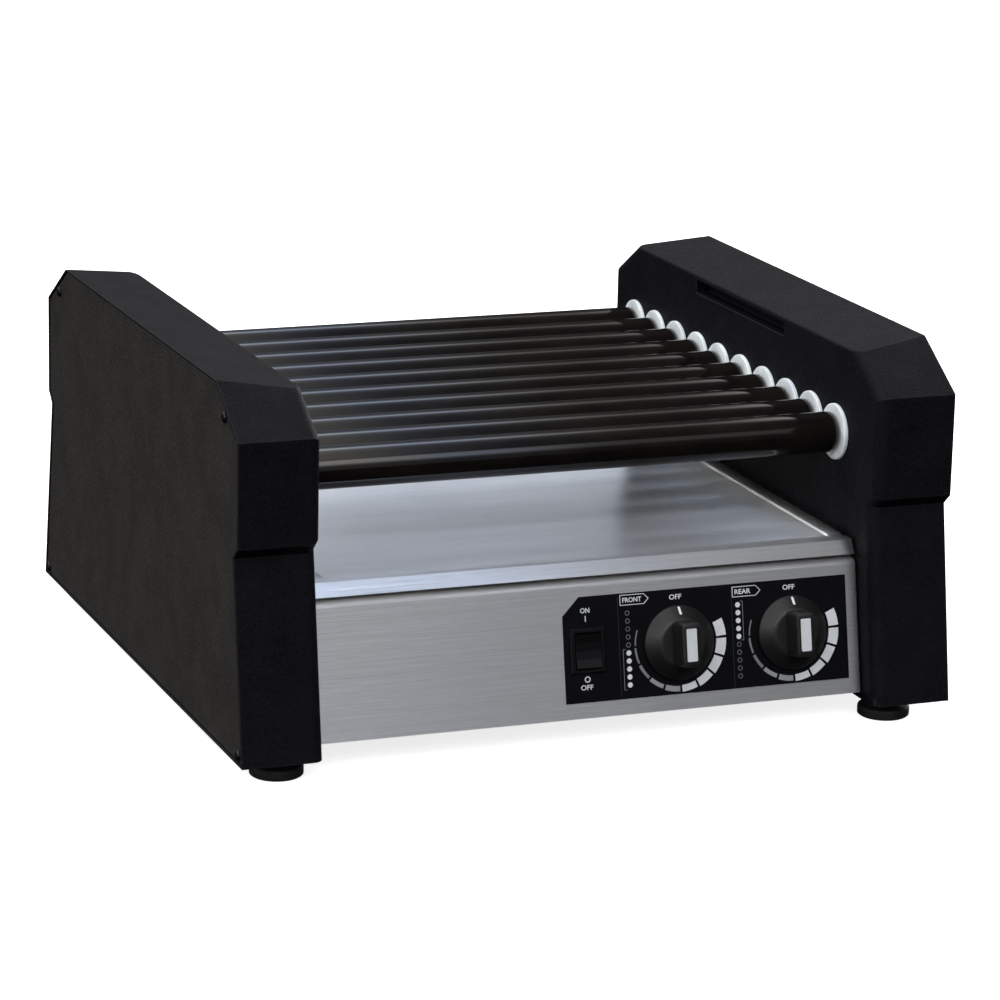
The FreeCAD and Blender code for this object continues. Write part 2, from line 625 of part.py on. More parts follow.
def make_rocker():
    """Rocker with two shallow front faces, resting with its lower end pressed in."""
    opening_w, opening_h = SWITCH_OPENING
    half = opening_h / 2 - ROCKER_END_GAP
    wide = opening_w - 2 * ROCKER_SIDE_GAP
    pivot = -ROCKER_PIVOT_DEPTH
    keel, deep = ROCKER_KEEL
    mid_height = ROCKER_WAIST + 0.25 * (ROCKER_CREST - ROCKER_WAIST)
    one_end = [(half * 0.5, mid_height), (half, ROCKER_CREST), (half + 0.2, 0.0), (keel, -deep)]
    other_end = [(-y, z) for y, z in reversed(one_end)]
    points = [Vector(-wide / 2, y, z) for y, z in [(0.0, ROCKER_WAIST)] + one_end + other_end]
    rocker = Part.Face(Part.makePolygon(points + points[:1])).extrude(Vector(wide, 0, 0))
    rocker.rotate(Vector(0, 0, pivot), Vector(1, 0, 0), ROCKER_TIP)
    return on_panel(rocker, SWITCH_ACROSS, SWITCH_UP)


def rectangle_wire(width, height, z):
    x = width / 2
    y = height / 2
    corners = [Vector(-x, -y, z), Vector(x, -y, z), Vector(x, y, z), Vector(-x, y, z)]
    return Part.makePolygon(corners + corners[:1])


def make_knob(across):
    """Conical knob with a raised grip bar; the bar stands upright at off."""
    base = OVERLAY_THICKNESS + KNOB_GAP
    face = KNOB_FACE_HEIGHT
    top = KNOB_GRIP_TOP[2]
    profile = [Vector(0, 0, base), Vector(KNOB_SKIRT_RADIUS, 0, base),
               Vector(KNOB_SKIRT_RADIUS, 0, base + KNOB_RIM),
               Vector(KNOB_FACE_RADIUS + 0.6, 0, face - 0.5), Vector(KNOB_FACE_RADIUS, 0, face),
               Vector(0, 0, face)]
    skirt = Part.Face(Part.makePolygon(profile + profile[:1])).revolve(Vector(0, 0, 0), Vector(0, 0, 1), 360)
    ends = [rectangle_wire(*KNOB_GRIP_ROOT, base + 2), rectangle_wire(*KNOB_GRIP_TOP)]
    grip = Part.makeLoft(ends, True, True)
    grip = grip.makeFillet(2.5, [e for e in grip.Edges if e.BoundBox.ZLength > 5])
    grip = grip.makeFillet(0.8, [e for e in grip.Edges if e.BoundBox.ZMin > top - 0.01])
    bore = Part.makeCylinder(SPINDLE_RADIUS + 0.02, KNOB_BORE_DEPTH, Vector(0, 0, base - 1))
    inlay_w, inlay_l, inlay_d = KNOB_INLAY
    pocket = centred_box(inlay_w + 2 * GAP, inlay_l + 2 * GAP, top - inlay_d - GAP, top + 1)
    return on_panel(skirt.fuse(grip).cut(bore).cut(pocket).removeSplitter(), across, KNOB_UP)


def make_inlay(across):
    width, length, depth = KNOB_INLAY
    top = KNOB_GRIP_TOP[2]
    strip = centred_box(width, length, top - depth, top + 0.1)
    strip = strip.makeFillet(0.8, [e for e in strip.Edges if e.BoundBox.ZLength > depth])
    return on_panel(strip, across, KNOB_UP)


def make_spindle(across):
    end = OVERLAY_THICKNESS + KNOB_BORE_DEPTH - 2
    rod = Part.makeCylinder(SPINDLE_RADIUS, end + SPINDLE_DEPTH, Vector(0, 0, -SPINDLE_DEPTH))
    return on_panel(rod, across, KNOB_UP)


def make_control(across):
    """Heat control body behind the panel with a threaded neck and two terminal tabs."""
    front = CONTROL_DEPTH - CONTROL_BACK
    body = centred_box(CONTROL_SIDE, CONTROL_SIDE, -CONTROL_BACK, front)
    body = body.makeFillet(CONTROL_CORNER, [e for e in body.Edges if e.BoundBox.ZLength > CONTROL_DEPTH - 1])
    neck_radius, neck_length = CONTROL_NECK
    neck = Part.makeCylinder(neck_radius, neck_length, Vector(0, 0, front - 0.2))
    bore_start = -SPINDLE_DEPTH - 0.5
    bore = Part.makeCylinder(SPINDLE_RADIUS + RUN_CLEARANCE, -bore_start + 1, Vector(0, 0, bore_start))
    tab_w, tab_h, tab_length = CONTROL_TAB
    tabs = [Part.makeBox(tab_w, tab_h, tab_length, Vector(x, -tab_h / 2, -CONTROL_BACK - tab_length))
            for x in CONTROL_TABS]
    return on_panel(body.fuse(neck).cut(bore).multiFuse(tabs).removeSplitter(), across, KNOB_UP)


def cylinder_y(radius, y0, y1):
    """Round bar from front to rear on the axis of the power inlet."""
    return Part.makeCylinder(radius, y1 - y0, Vector(INLET_X, y0, INLET_Z), Vector(0, 1, 0))


def make_rear_panel():
    """Rear of the cabinet with two rows of vent slots and the inlet hole."""
    half = PANEL_HALF_LENGTH
    y = REAR_PANEL_Y
    low = PANEL_BASE_Z + CABINET_GAP
    high = DECK_Z + CABINET_SHEET + CABINET_GAP
    sheet = CABINET_SHEET
    plate = box(-half, half, y - sheet, y, low, high + sheet)
    plate = plate.fuse(box(-half, half, y - REAR_PANEL_FLANGE, y, high, high + sheet))
    width, height = VENT_SLOT
    slots = [box(x, x + width, y - 5, y + 5, z, z + height) for x in VENT_SLOTS_X for z in VENT_SLOTS_Z]
    slots.append(cylinder_y(INLET_BODY_RADIUS + GAP, y - 5, y + 5))
    return plate.cut(Part.Compound(slots)).removeSplitter()


def make_power_inlet():
    """Round gland body in the rear panel, left open where a cord would enter."""
    y = REAR_PANEL_Y
    flange_radius, flange_length = INLET_FLANGE
    root, tip, nose_length = INLET_NOSE
    outer = y + flange_length
    inner = y - INLET_INSIDE
    nut_end = inner + INLET_INSIDE / 2 + INLET_NUT_LENGTH
    flange = cylinder_y(flange_radius, y, outer)
    nose = Part.makeCone(root, tip, nose_length, Vector(INLET_X, outer, INLET_Z), Vector(0, 1, 0))
    body = cylinder_y(INLET_BODY_RADIUS, inner, y + 2)
    nut = cylinder_y(flange_radius, nut_end - INLET_NUT_LENGTH, nut_end)
    bore = cylinder_y(INLET_BORE, inner - 1, outer + nose_length + 1)
    return flange.multiFuse([nose, body, nut]).cut(bore).removeSplitter()


def make_base_pan():
    half = PANEL_HALF_LENGTH - CABINET_SHEET - CABINET_GAP
    z = PANEL_BASE_Z + CABINET_SHEET + GAP
    y0 = PANEL_BASE_Y + 4.0
    y1 = REAR_PANEL_Y - CABINET_SHEET - CABINET_GAP
    pan = box(-half, half, y0, y1, z, z + CABINET_SHEET)
    rim = box(half - CABINET_SHEET, half, y0 + PAN_RIM_START, y1, z, z + PAN_RIM)
    pan = pan.fuse(rim).fuse(mirrored(rim))
    length, width = PAN_SLOT
    slots = [box(x, x + length, y, y + width, z - 2, z + 4) for x in PAN_SLOTS_X for y in PAN_SLOTS_Y]
    return pan.cut(Part.Compound(slots)).removeSplitter()


def make_deck():
    """Top of the cabinet, below the drip tray."""
    lean = math.tan(math.radians(PANEL_TILT))
    y0 = PANEL_BASE_Y + (DECK_Z - PANEL_BASE_Z) * lean + 5.0
    half = PANEL_HALF_LENGTH - CABINET_SHEET - CABINET_GAP
    return box(-half, half, y0, REAR_PANEL_Y - CABINET_SHEET - CABINET_GAP, DECK_Z, DECK_Z + CABINET_SHEET)


def make_terminal_block():
    x0, x1 = TERMINAL_X
    y0, y1 = TERMINAL_Y
    z0, z1 = TERMINAL_Z
    width, depth = TERMINAL_SLOT
    block = box(x0, x1, y0, y1, z0, z1)
    slots = [box(x, x + width, y0 - 1, y1 + 1, z1 - depth, z1 + 1) for x in TERMINAL_SLOTS_X]
    return block.cut(Part.Compound(slots))


def make_tray():
    """Flat bed with a low level rim at each side, a sloping front lip and a turned-up rear edge."""
    top = TRAY_TOP
    low = top - TRAY_SHEET
    flat = TRAY_FLAT_HALF
    step = flat + TRAY_STEP_RUN
    rim = TRAY_RIM_HALF
    rise = TRAY_RIM_RISE
    right = [(flat, top), (step, top + rise), (rim, top + rise),
             (rim, low + rise), (step, low + rise), (flat, low)]
    left = [(-x, z) for x, z in reversed(right)]
    pan = prism_xz(right + left, TRAY_RIM_FRONT_Y, TRAY_REAR_Y)
    lip_y = TRAY_LIP_Y
    front = lip_y - TRAY_LIP_RUN
    foot = top - TRAY_LIP_DROP
    slope = math.atan2(TRAY_LIP_DROP, TRAY_LIP_RUN)
    in_y = TRAY_SHEET * math.sin(slope)
    in_z = TRAY_SHEET * math.cos(slope)
    back = TRAY_SHEET * math.tan(slope / 2)
    lip = prism_yz([(lip_y, top), (front, foot), (front + in_y, foot - in_z),
                    (lip_y + back, low), (TRAY_RIM_FRONT_Y, low), (TRAY_RIM_FRONT_Y, top)],
                   -TRAY_LIP_HALF, TRAY_LIP_HALF)
    rear = prism_yz([(TRAY_REAR_Y - TRAY_SHEET, low), (TRAY_REAR_Y, low), (TRAY_REAR_Y, top + TRAY_REAR_RISE),
                     (TRAY_REAR_Y - TRAY_SHEET, top + TRAY_REAR_RISE)], -flat, flat)
    return pan.fuse(lip).fuse(rear).removeSplitter()


def make_rail():
    """Angle on the inner face of the cover that the tray runs on."""
    z1 = TRAY_TOP - TRAY_SHEET - RAIL_GAP
    x1 = WALL_X - GAP
    y0 = RAIL_FRONT_Y
    y1 = REAR_PANEL_Y - RAIL_REAR_GAP
    shelf = box(x1 - RAIL_WIDTH, x1, y0, y1, z1 - RAIL_SHEET, z1)
    return shelf.fuse(box(x1 - RAIL_SHEET, x1, y0, y1, z1 - RAIL_HEIGHT, z1)).removeSplitter()


both_sides("cover", make_cover())
both_sides("side_panel", make_side_panel())
screws = [make_side_screw(y, z) for y, z in SIDE_SCREWS]
save("side_screws", Part.Compound(screws + [mirrored(s) for s in screws]))
both_sides("frame", make_frame())
both_sides("floor", make_floor())
both_sides("bushes", Part.Compound([make_bush(y) for y in roller_positions()]))
both_sides("heater_bar", make_heater_bar())
both_sides("tray_rail", make_rail())
save("feet", Part.Compound([make_foot(sx * FOOT_X, sy * FOOT_Y) for sx in (-1, 1) for sy in (-1, 1)]))

for number, roller_y in enumerate(roller_positions(), start=1):
    save("roller_%02d" % number, make_roller(roller_y))
    save("sprocket_%02d" % number, make_sprocket(roller_y, ROLLER_Z, JOURNAL_RADIUS + SPROCKET_FIT))

heaters = [cylinder_x(HEATER_RADIUS, -HEATER_HALF_LENGTH, HEATER_HALF_LENGTH, y, ROLLER_Z)
           for y in roller_positions()]
save("heaters_front", Part.Compound(heaters[:ROLLER_COUNT // 2]))
save("heaters_rear", Part.Compound(heaters[ROLLER_COUNT // 2:]))

save("gear_motor", make_motor())
shaft_start = FRAME_X - MOTOR_SHAFT_DEPTH
save("motor_shaft", cylinder_x(MOTOR_SHAFT_RADIUS, shaft_start, JOURNAL_RIGHT_X, MOTOR_Y, MOTOR_Z))
save("motor_sprocket", make_sprocket(MOTOR_Y, MOTOR_Z, MOTOR_SHAFT_RADIUS + SPROCKET_FIT))
save("drive_chain", make_chain())

save("front_panel", make_front_panel())
save("control_overlay", make_overlay())
save("switch_body", make_switch_body())
save("switch_rocker", make_rocker())
for zone, zone_across in KNOB_ACROSS.items():
    save("knob_" + zone, make_knob(zone_across))
    save("knob_inlay_" + zone, make_inlay(zone_across))
    save("spindle_" + zone, make_spindle(zone_across))
    save("heat_control_" + zone, make_control(zone_across))

save("base_pan", make_base_pan())
save("deck_plate", make_deck())
save("rear_panel", make_rear_panel())
save("power_inlet", make_power_inlet())
save("terminal_block", make_terminal_block())
save("drip_tray", make_tray())
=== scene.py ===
import math

import bmesh
import bpy
from mathutils import Matrix, Vector


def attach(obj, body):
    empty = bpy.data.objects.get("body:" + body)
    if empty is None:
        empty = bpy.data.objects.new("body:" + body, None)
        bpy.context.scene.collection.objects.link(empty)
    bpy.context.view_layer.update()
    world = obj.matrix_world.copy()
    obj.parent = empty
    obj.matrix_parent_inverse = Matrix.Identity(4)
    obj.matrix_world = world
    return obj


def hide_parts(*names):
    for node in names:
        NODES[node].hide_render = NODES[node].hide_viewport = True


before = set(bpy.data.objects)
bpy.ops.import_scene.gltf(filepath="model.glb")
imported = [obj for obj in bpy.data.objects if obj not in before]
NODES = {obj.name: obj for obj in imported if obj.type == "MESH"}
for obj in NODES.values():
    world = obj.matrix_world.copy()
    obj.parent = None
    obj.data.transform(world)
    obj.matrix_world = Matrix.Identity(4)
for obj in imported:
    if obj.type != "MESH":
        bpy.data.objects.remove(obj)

MM = 0.001

for leftover in ("Cube", "Light", "Camera"):
    if leftover in bpy.data.objects:
        bpy.data.objects.remove(bpy.data.objects[leftover])
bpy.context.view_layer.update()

# ---------------------------------------------------------------- dimensions, millimetres
PLAY = 0.05
WALL_X = 177.0
ROLLER_COUNT = 10
ROLLER_FRONT_Y = -149.4
ROLLER_PITCH = 35.3
ROLLER_Z = 172.0
ROLLER_RADIUS = 12.7
ROLLER_END_X = 172.6
JOURNAL_RADIUS = 8.0
JOURNAL_BORE = 5.6
JOURNAL_LEFT_X = -186.0
JOURNAL_RIGHT_X = 199.5
BUSH_RADIUS = 17.4
BUSH_FACE_X = 174.6
BUSH_HUB_RADIUS = 11.0
BUSH_HUB_END = 183.5
SIDE_FACE_X = 226.7
SIDE_SCREWS = ((-181.0, 214.6), (181.0, 214.6), (-210.8, 20.6), (210.8, 20.6))
FOOT_PLACES = ((-197.4, -191.0), (197.4, -191.0), (-197.4, 191.0), (197.4, 191.0))
PANEL_BASE_Y = -202.2
PANEL_BASE_Z = 19.4
PANEL_TILT = math.radians(11.2)
OVERLAY_FACE = 0.4
KNOB_UP = 41.0
KNOB_ACROSS = {"front": 55.3, "rear": 130.5}
KNOB_RADIUS = 22.6
KNOB_FACE_RADIUS = 14.6
KNOB_FACE = 9.0
KNOB_GRIP_ROOT = (13.8, 27.6)
KNOB_GRIP_TOP = (12.0, 26.8)
KNOB_HEIGHT = 22.0
KNOB_POCKET = (6.8, 20.0)

PANEL_FRAME = Matrix((
    (1, 0, 0, 0),
    (0, math.sin(PANEL_TILT), -math.cos(PANEL_TILT), PANEL_BASE_Y * MM),
    (0, math.cos(PANEL_TILT), math.sin(PANEL_TILT), PANEL_BASE_Z * MM),
    (0, 0, 0, 1)))


# ---------------------------------------------------------------- camera
CAMERA_YAW = math.radians(21.343)
CAMERA_PITCH = math.radians(14.716)
CAMERA_ROLL = math.radians(1.33)
CAMERA_PLACE = (-0.9039, -2.3490, 0.7645)    # metres
CAMERA_LENS = 146.64
CAMERA_SENSOR = 36.0
CAMERA_REACH = 200.0


def make_camera():
    yaw, pitch, roll = CAMERA_YAW, CAMERA_PITCH, CAMERA_ROLL
    ahead = Vector((math.sin(yaw) * math.cos(pitch), math.cos(yaw) * math.cos(pitch), -math.sin(pitch)))
    right = Vector((math.cos(yaw), -math.sin(yaw), 0))
    up = right.cross(ahead)
    x_axis = math.cos(roll) * right + math.sin(roll) * up
    y_axis = math.cos(roll) * up - math.sin(roll) * right
    data = bpy.data.cameras.new("camera")
    data.lens = CAMERA_LENS
    data.sensor_width = CAMERA_SENSOR
    data.clip_end = CAMERA_REACH
    camera = bpy.data.objects.new("camera", data)
    bpy.context.scene.collection.objects.link(camera)
    place = Matrix((x_axis, y_axis, -ahead)).transposed().to_4x4()
    place.translation = Vector(CAMERA_PLACE)
    camera.matrix_world = place
    bpy.context.scene.camera = camera


# ---------------------------------------------------------------- shader building
# Sockets of a Mix node that mixes colours
MIX_FACTOR, MIX_FIRST, MIX_SECOND, MIX_RESULT = 0, 6, 7, 2
BEVEL_SAMPLES = 4


class Shader:
    """One material with a Principled shader, built node by node."""

    def __init__(self, name):
        self.mat = bpy.data.materials.new(name)
        self.mat.use_nodes = True
        self.tree = self.mat.node_tree
        self.bsdf = self.tree.nodes["Principled BSDF"]
        self.coords = self.add("ShaderNodeTexCoord").outputs["Object"]

    def add(self, kind, inputs=None, **settings):
        node = self.tree.nodes.new(kind)
        for key, value in settings.items():
            setattr(node, key, value)
        for key, value in (inputs or {}).items():
            self.put(node.inputs[key], value)
        return node

    def put(self, socket, value):
        if isinstance(value, bpy.types.NodeSocket):
            self.tree.links.new(value, socket)
        elif hasattr(value, "__len__") and len(value) == 3 and socket.type == "RGBA":
            socket.default_value = (*value, 1)
        else:
            socket.default_value = value

    def set(self, **values):
        for key, value in values.items():
            self.put(self.bsdf.inputs[key.replace("_", " ")], value)
        return self

    def stretch(self, scale):
        """Object coordinates scaled by a different amount on each axis."""
        return self.add("ShaderNodeMapping", {"Vector": self.coords, "Scale": scale}).outputs["Vector"]

    def noise(self, scale, detail=2.0, coords=None, roughness=0.5):
        node = self.add("ShaderNodeTexNoise", {"Vector": coords or self.coords, "Scale": scale,
                                               "Detail": detail, "Roughness": roughness})
        return node.outputs["Fac"]

    def cells(self, scale):
        node = self.add("ShaderNodeTexVoronoi", {"Vector": self.coords, "Scale": scale})
        return node.outputs["Distance"]

    def span(self, value, low, high, start=0.0, end=1.0):
        """Map a value from one range to another, held at the ends."""
        node = self.add("ShaderNodeMapRange", {"Value": value, "From Min": start, "From Max": end,
                                               "To Min": low, "To Max": high})
        return node.outputs["Result"]

    def blend(self, factor, first, second):
        node = self.add("ShaderNodeMix", data_type="RGBA")
        self.put(node.inputs[MIX_FACTOR], factor)
        self.put(node.inputs[MIX_FIRST], first)
        self.put(node.inputs[MIX_SECOND], second)
        return node.outputs[MIX_RESULT]

    def math(self, operation, first, second):
        node = self.add("ShaderNodeMath", operation=operation)
        self.put(node.inputs[0], first)
        self.put(node.inputs[1], second)
        return node.outputs[0]

    def bump(self, height, strength, distance, below=None):
        inputs = {"Height": height, "Strength": strength, "Distance": distance}
        if below:
            inputs["Normal"] = below
        return self.add("ShaderNodeBump", inputs).outputs["Normal"]

    def rounded_normal(self, radius):
        """The normal as it would be if edges were rounded to a radius in metres."""
        return self.add("ShaderNodeBevel", {"Radius": radius}, samples=BEVEL_SAMPLES).outputs["Normal"]

    def edges(self, radius):
        """1 near a sharp edge, 0 on open faces."""
        flat = self.add("ShaderNodeNewGeometry").outputs["Normal"]
        dot = self.add("ShaderNodeVectorMath", {0: self.rounded_normal(radius), 1: flat},
                       operation="DOT_PRODUCT").outputs["Value"]
        return self.span(dot, 1.0, 0.0, 0.80, 0.995)


def darker(colour, share):
    return [c * (1 - share) for c in colour]


def brighter(colour, share):
    return [min(1.0, c * (1 + share)) for c in colour]


def textured(name, colour, lighter, roughness, grain, depth, specular):
    """Moulded or powder-coated surface: fine grain, soft mottling, and a painted highlight that lightens the
    sharp edges.
    """
    edge_highlight, edge_highlight_radius, soft_radius, bump_strength = 0.6, 0.0011, 0.0007, 0.55
    # colour of the painted highlight laid along sharp edges, much lighter than the body
    edge_highlight_colour = [min(1.0, c * 3.0 + 0.03) for c in lighter]
    s = Shader(name)
    mottle = s.noise(38.0, 5.0, roughness=0.6)
    fine = s.noise(grain, 2.0, roughness=0.7)
    pits = s.cells(grain * 0.55)
    tone = s.math("ADD", s.math("MULTIPLY", mottle, 0.30), s.math("MULTIPLY", fine, 0.70))
    body = s.blend(s.span(tone, 0.0, 1.0, 0.36, 0.64), colour, lighter)
    # painted highlight: the colour is lightened near sharp edges to stand in for edges catching the light
    edge_highlit_body = s.blend(s.math("MULTIPLY", s.edges(edge_highlight_radius), edge_highlight), body, edge_highlight_colour)
    rough = s.span(tone, roughness + 0.06, roughness - 0.06, 0.3, 0.7)
    height = s.math("ADD", fine, s.math("MULTIPLY", pits, 0.6))
    s.set(Base_Color=edge_highlit_body, Roughness=rough, Specular_IOR_Level=specular,
          Normal=s.bump(height, bump_strength, depth, s.rounded_normal(soft_radius)))
    return s.mat


def plastic(name, colour, roughness, grain, depth, specular=0.5):
    """Smooth moulded plastic with a faint flow pattern."""
    s = Shader(name)
    flow = s.noise(55.0, 3.0)
    fine = s.noise(grain, 2.0)
    body = s.blend(s.span(flow, 0.0, 1.0, 0.35, 0.65), darker(colour, 0.15), brighter(colour, 0.12))
    s.set(Base_Color=body, Roughness=s.span(fine, roughness - 0.05, roughness + 0.05, 0.3, 0.7),
          Specular_IOR_Level=specular, Normal=s.bump(fine, 0.35, depth))
    return s.mat


def brushed(name, colour, roughness, spread, streak, depth, smudge=0.06):
    """Sheet steel brushed from side to side: long fine streaks, rougher across the brushing."""
    s = Shader(name)
    long_lines = s.noise(1.0, 3.0, s.stretch((12.0, 1500.0, 1500.0)), 0.65)
    short_lines = s.noise(1.0, 2.0, s.stretch((80.0, 3200.0, 3200.0)), 0.6)
    cloud = s.noise(9.0, 4.0, roughness=0.55)
    lines = s.math("ADD", s.math("MULTIPLY", long_lines, 0.6), s.math("MULTIPLY", short_lines, 0.4))
    body = s.blend(s.span(lines, 0.0, 1.0, 0.38, 0.62), darker(colour, streak), brighter(colour, streak))
    dull = s.math("MULTIPLY", s.span(cloud, 0.0, 1.0, 0.4, 0.7), smudge)
    rough = s.math("ADD", s.span(lines, roughness + 0.05, roughness - 0.05, 0.35, 0.65), dull)
    along = s.add("ShaderNodeCombineXYZ", {"X": 1.0}).outputs["Vector"]
    s.set(Base_Color=body, Metallic=1.0, Roughness=rough, Anisotropic=spread,
          Anisotropic_Rotation=0.25, Tangent=along, Normal=s.bump(lines, 0.4, depth))
    return s.mat


def plated(name, colour, roughness, streak=0.12):
    """Plain machined or plated steel with fine scratches."""
    s = Shader(name)
    fine = s.noise(1.0, 3.0, s.stretch((2200.0, 260.0, 900.0)), 0.6)
    cloud = s.noise(60.0, 4.0)
    tone = s.math("ADD", s.math("MULTIPLY", fine, 0.5), s.math("MULTIPLY", cloud, 0.5))
    body = s.blend(s.span(tone, 0.0, 1.0, 0.35, 0.65), darker(colour, streak), brighter(colour, streak))
    rough = s.span(tone, roughness + 0.08, roughness - 0.08, 0.3, 0.7)
    s.set(Base_Color=body, Metallic=1.0, Roughness=rough, Normal=s.bump(fine, 0.2, 0.00003))
    return s.mat


def coated_roller(name):
    """Baked non-stick coating: near black, satin, with fine turning lines and a brown cast."""
    s = Shader(name)
    turning = s.noise(1.0, 2.0, s.stretch((2400.0, 70.0, 70.0)), 0.6)
    cloud = s.noise(1.0, 4.0, s.stretch((30.0, 110.0, 110.0)), 0.6)
    speck = s.noise(1500.0, 2.0)
    dark, light = (0.0046, 0.0038, 0.0038), (0.0085, 0.0067, 0.0061)
    body = s.blend(s.span(cloud, 0.0, 1.0, 0.35, 0.65), dark, light)
    rough = s.math("ADD", s.span(cloud, 0.06, 0.10, 0.35, 0.65), s.math("MULTIPLY", turning, 0.02))
    height = s.math("ADD", s.math("MULTIPLY", turning, 0.5), s.math("MULTIPLY", speck, 0.5))
    s.set(Base_Color=body, Roughness=rough, Specular_IOR_Level=0.42,
          Normal=s.bump(height, 0.12, 0.00001))
    return s.mat


def printed(name, colour, roughness=0.45):
    """Screen-printed ink with a slightly uneven cover."""
    s = Shader(name)
    fine = s.noise(1800.0, 2.0)
    cloud = s.noise(140.0, 3.0)
    body = s.blend(s.span(cloud, 0.0, 1.0, 0.35, 0.65), darker(colour, 0.07), brighter(colour, 0.04))
    s.set(Base_Color=body, Roughness=s.span(fine, roughness - 0.05, roughness + 0.05),
          Specular_IOR_Level=0.35, Normal=s.bump(fine, 0.2, 0.00002))
    return s.mat


def rubber(name):
    """Matt rubber with a little dust."""
    s = Shader(name)
    fine = s.noise(1300.0, 3.0)
    dust = s.noise(120.0, 5.0, roughness=0.65)
    body = s.blend(s.span(dust, 0.0, 1.0, 0.4, 0.75), (0.006, 0.006, 0.007), (0.016, 0.016, 0.017))
    s.set(Base_Color=body, Roughness=s.span(dust, 0.5, 0.68), Specular_IOR_Level=0.4,
          Normal=s.bump(fine, 0.4, 0.00008))
    return s.mat


MATERIALS = {
    "cover_black": textured("cover_black", (0.0022, 0.0023, 0.0038), (0.0088, 0.0090, 0.0124),
                            0.60, 900.0, 0.00050, specular=0.06),
    "side_panel_black": textured("side_panel_black", (0.0110, 0.0102, 0.0100), (0.0430, 0.0410, 0.0400),
                                 0.60, 850.0, 0.00045, specular=0.24),
    "roller_black": coated_roller("roller_black"),
    "stainless": brushed("stainless", (0.75, 0.745, 0.735), 0.42, 0.86, 0.10, 0.00004),
    "tray_stainless": brushed("tray_stainless", (0.93, 0.935, 0.945), 0.37, 0.99, 0.08, 0.00002, 0.02),
    "bush_white": plastic("bush_white", (0.80, 0.87, 0.98), 0.36, 700.0, 0.00003),
    "foot_rubber": rubber("foot_rubber"),
    "overlay_black": plastic("overlay_black", (0.0030, 0.0030, 0.0046), 0.40, 2600.0, 0.00003, 0.10),
    "switch_black": plastic("switch_black", (0.0036, 0.0036, 0.0046), 0.36, 1400.0, 0.00004, 0.18),
    "knob_black": plastic("knob_black", (0.0080, 0.0080, 0.0088), 0.42, 1500.0, 0.00006, 0.40),
    "inlay_white": printed("inlay_white", (0.66, 0.69, 0.74), 0.35),
    "screw_black": plated("screw_black", (0.035, 0.035, 0.038), 0.42),
    "frame_steel": plated("frame_steel", (0.52, 0.53, 0.54), 0.42),
    "sprocket_steel": plated("sprocket_steel", (0.40, 0.40, 0.41), 0.36),
    "chain_steel": plated("chain_steel", (0.34, 0.33, 0.32), 0.38),
    "spindle_steel": plated("spindle_steel", (0.58, 0.58, 0.57), 0.30),
    "heater_sheath": plated("heater_sheath", (0.30, 0.27, 0.24), 0.45, 0.25),
    "heater_bar": plastic("heater_bar", (0.55, 0.50, 0.42), 0.70, 500.0, 0.0002),
    "motor_grey": plated("motor_grey", (0.28, 0.29, 0.30), 0.48),
    "control_body": plastic("control_body", (0.32, 0.24, 0.15), 0.55, 600.0, 0.0001),
    "terminal_cream": plastic("terminal_cream", (0.70, 0.65, 0.52), 0.50, 600.0, 0.0001),
    "ink_white": printed("ink_white", (0.72, 0.75, 0.80)),
    "ink_grey": printed("ink_grey", (0.30, 0.315, 0.34)),
    "ink_dim": printed("ink_dim", (0.20, 0.205, 0.22)),
    "ink_faint": printed("ink_faint", (0.024, 0.025, 0.028)),
}


# ---------------------------------------------------------------- mesh building
def piece(name, mesh, body, material, replaces=(), sharp=30.0):
    """Finish a mesh as a piece of the model that rides on a body."""
    mesh.materials.clear()
    mesh.materials.append(MATERIALS[material])
    mesh.polygons.foreach_set("use_smooth", [True] * len(mesh.polygons))
    mesh.set_sharp_from_angle(angle=math.radians(sharp))
    obj = bpy.data.objects.new(name, mesh)
    bpy.context.scene.collection.objects.link(obj)
    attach(obj, body)
    if replaces:
        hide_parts(*replaces)
    return obj


def finish_mesh(bm, name):
    """Make the faces agree on one side, outward where the shape is closed, and turn the bmesh into a mesh."""
    bmesh.ops.recalc_face_normals(bm, faces=bm.faces)
    mesh = bpy.data.meshes.new(name)
    bm.to_mesh(mesh)
    bm.free()
    return mesh


def rounded(points, radius, steps):
    """Closed outline whose corners are arcs; radius is one number, or one for each corner."""
    radii = radius if hasattr(radius, "__len__") else [radius] * len(points)
    result = []
    count = len(points)
    for i, (point, r) in enumerate(zip(points, radii)):
        here = Vector(point)
        before = Vector(points[i - 1]) - here
        after = Vector(points[(i + 1) % count]) - here
        if r <= 0:
            result.append(tuple(here))
            continue
        half = before.angle(after) / 2
        reach = min(r / math.tan(half), before.length * 0.49, after.length * 0.49)
        r = reach * math.tan(half)
        centre = here + (before.normalized() + after.normalized()).normalized() * (r / math.sin(half))
        first = here + before.normalized() * reach - centre
        last = here + after.normalized() * reach - centre
        turn = math.atan2(first.x * last.y - first.y * last.x, first.dot(last))
        for k in range(steps + 1):
            a = turn * k / steps
            result.append((centre.x + first.x * math.cos(a) - first.y * math.sin(a),
                           centre.y + first.x * math.sin(a) + first.y * math.cos(a)))
    return result


def add_turned(bm, outline, place, steps=64):
    """Turn a closed outline of (along, radius) about the local Z axis, then put it in place."""
    rings = []
    for along, radius in outline:
        if radius < 1e-6:
            rings.append([bm.verts.new(place @ Vector((0, 0, along)))] * steps)
            continue
        rings.append([bm.verts.new(place @ Vector((radius * math.cos(a), radius * math.sin(a), along)))
                      for a in (2 * math.pi * k / steps for k in range(steps))])
    for ring, after in zip(rings, rings[1:] + rings[:1]):
        for k in range(steps):
            corners = [ring[k], ring[(k + 1) % steps], after[(k + 1) % steps], after[k]]
            unique = list(dict.fromkeys(corners))
            if len(unique) > 2:
                bm.faces.new(unique)


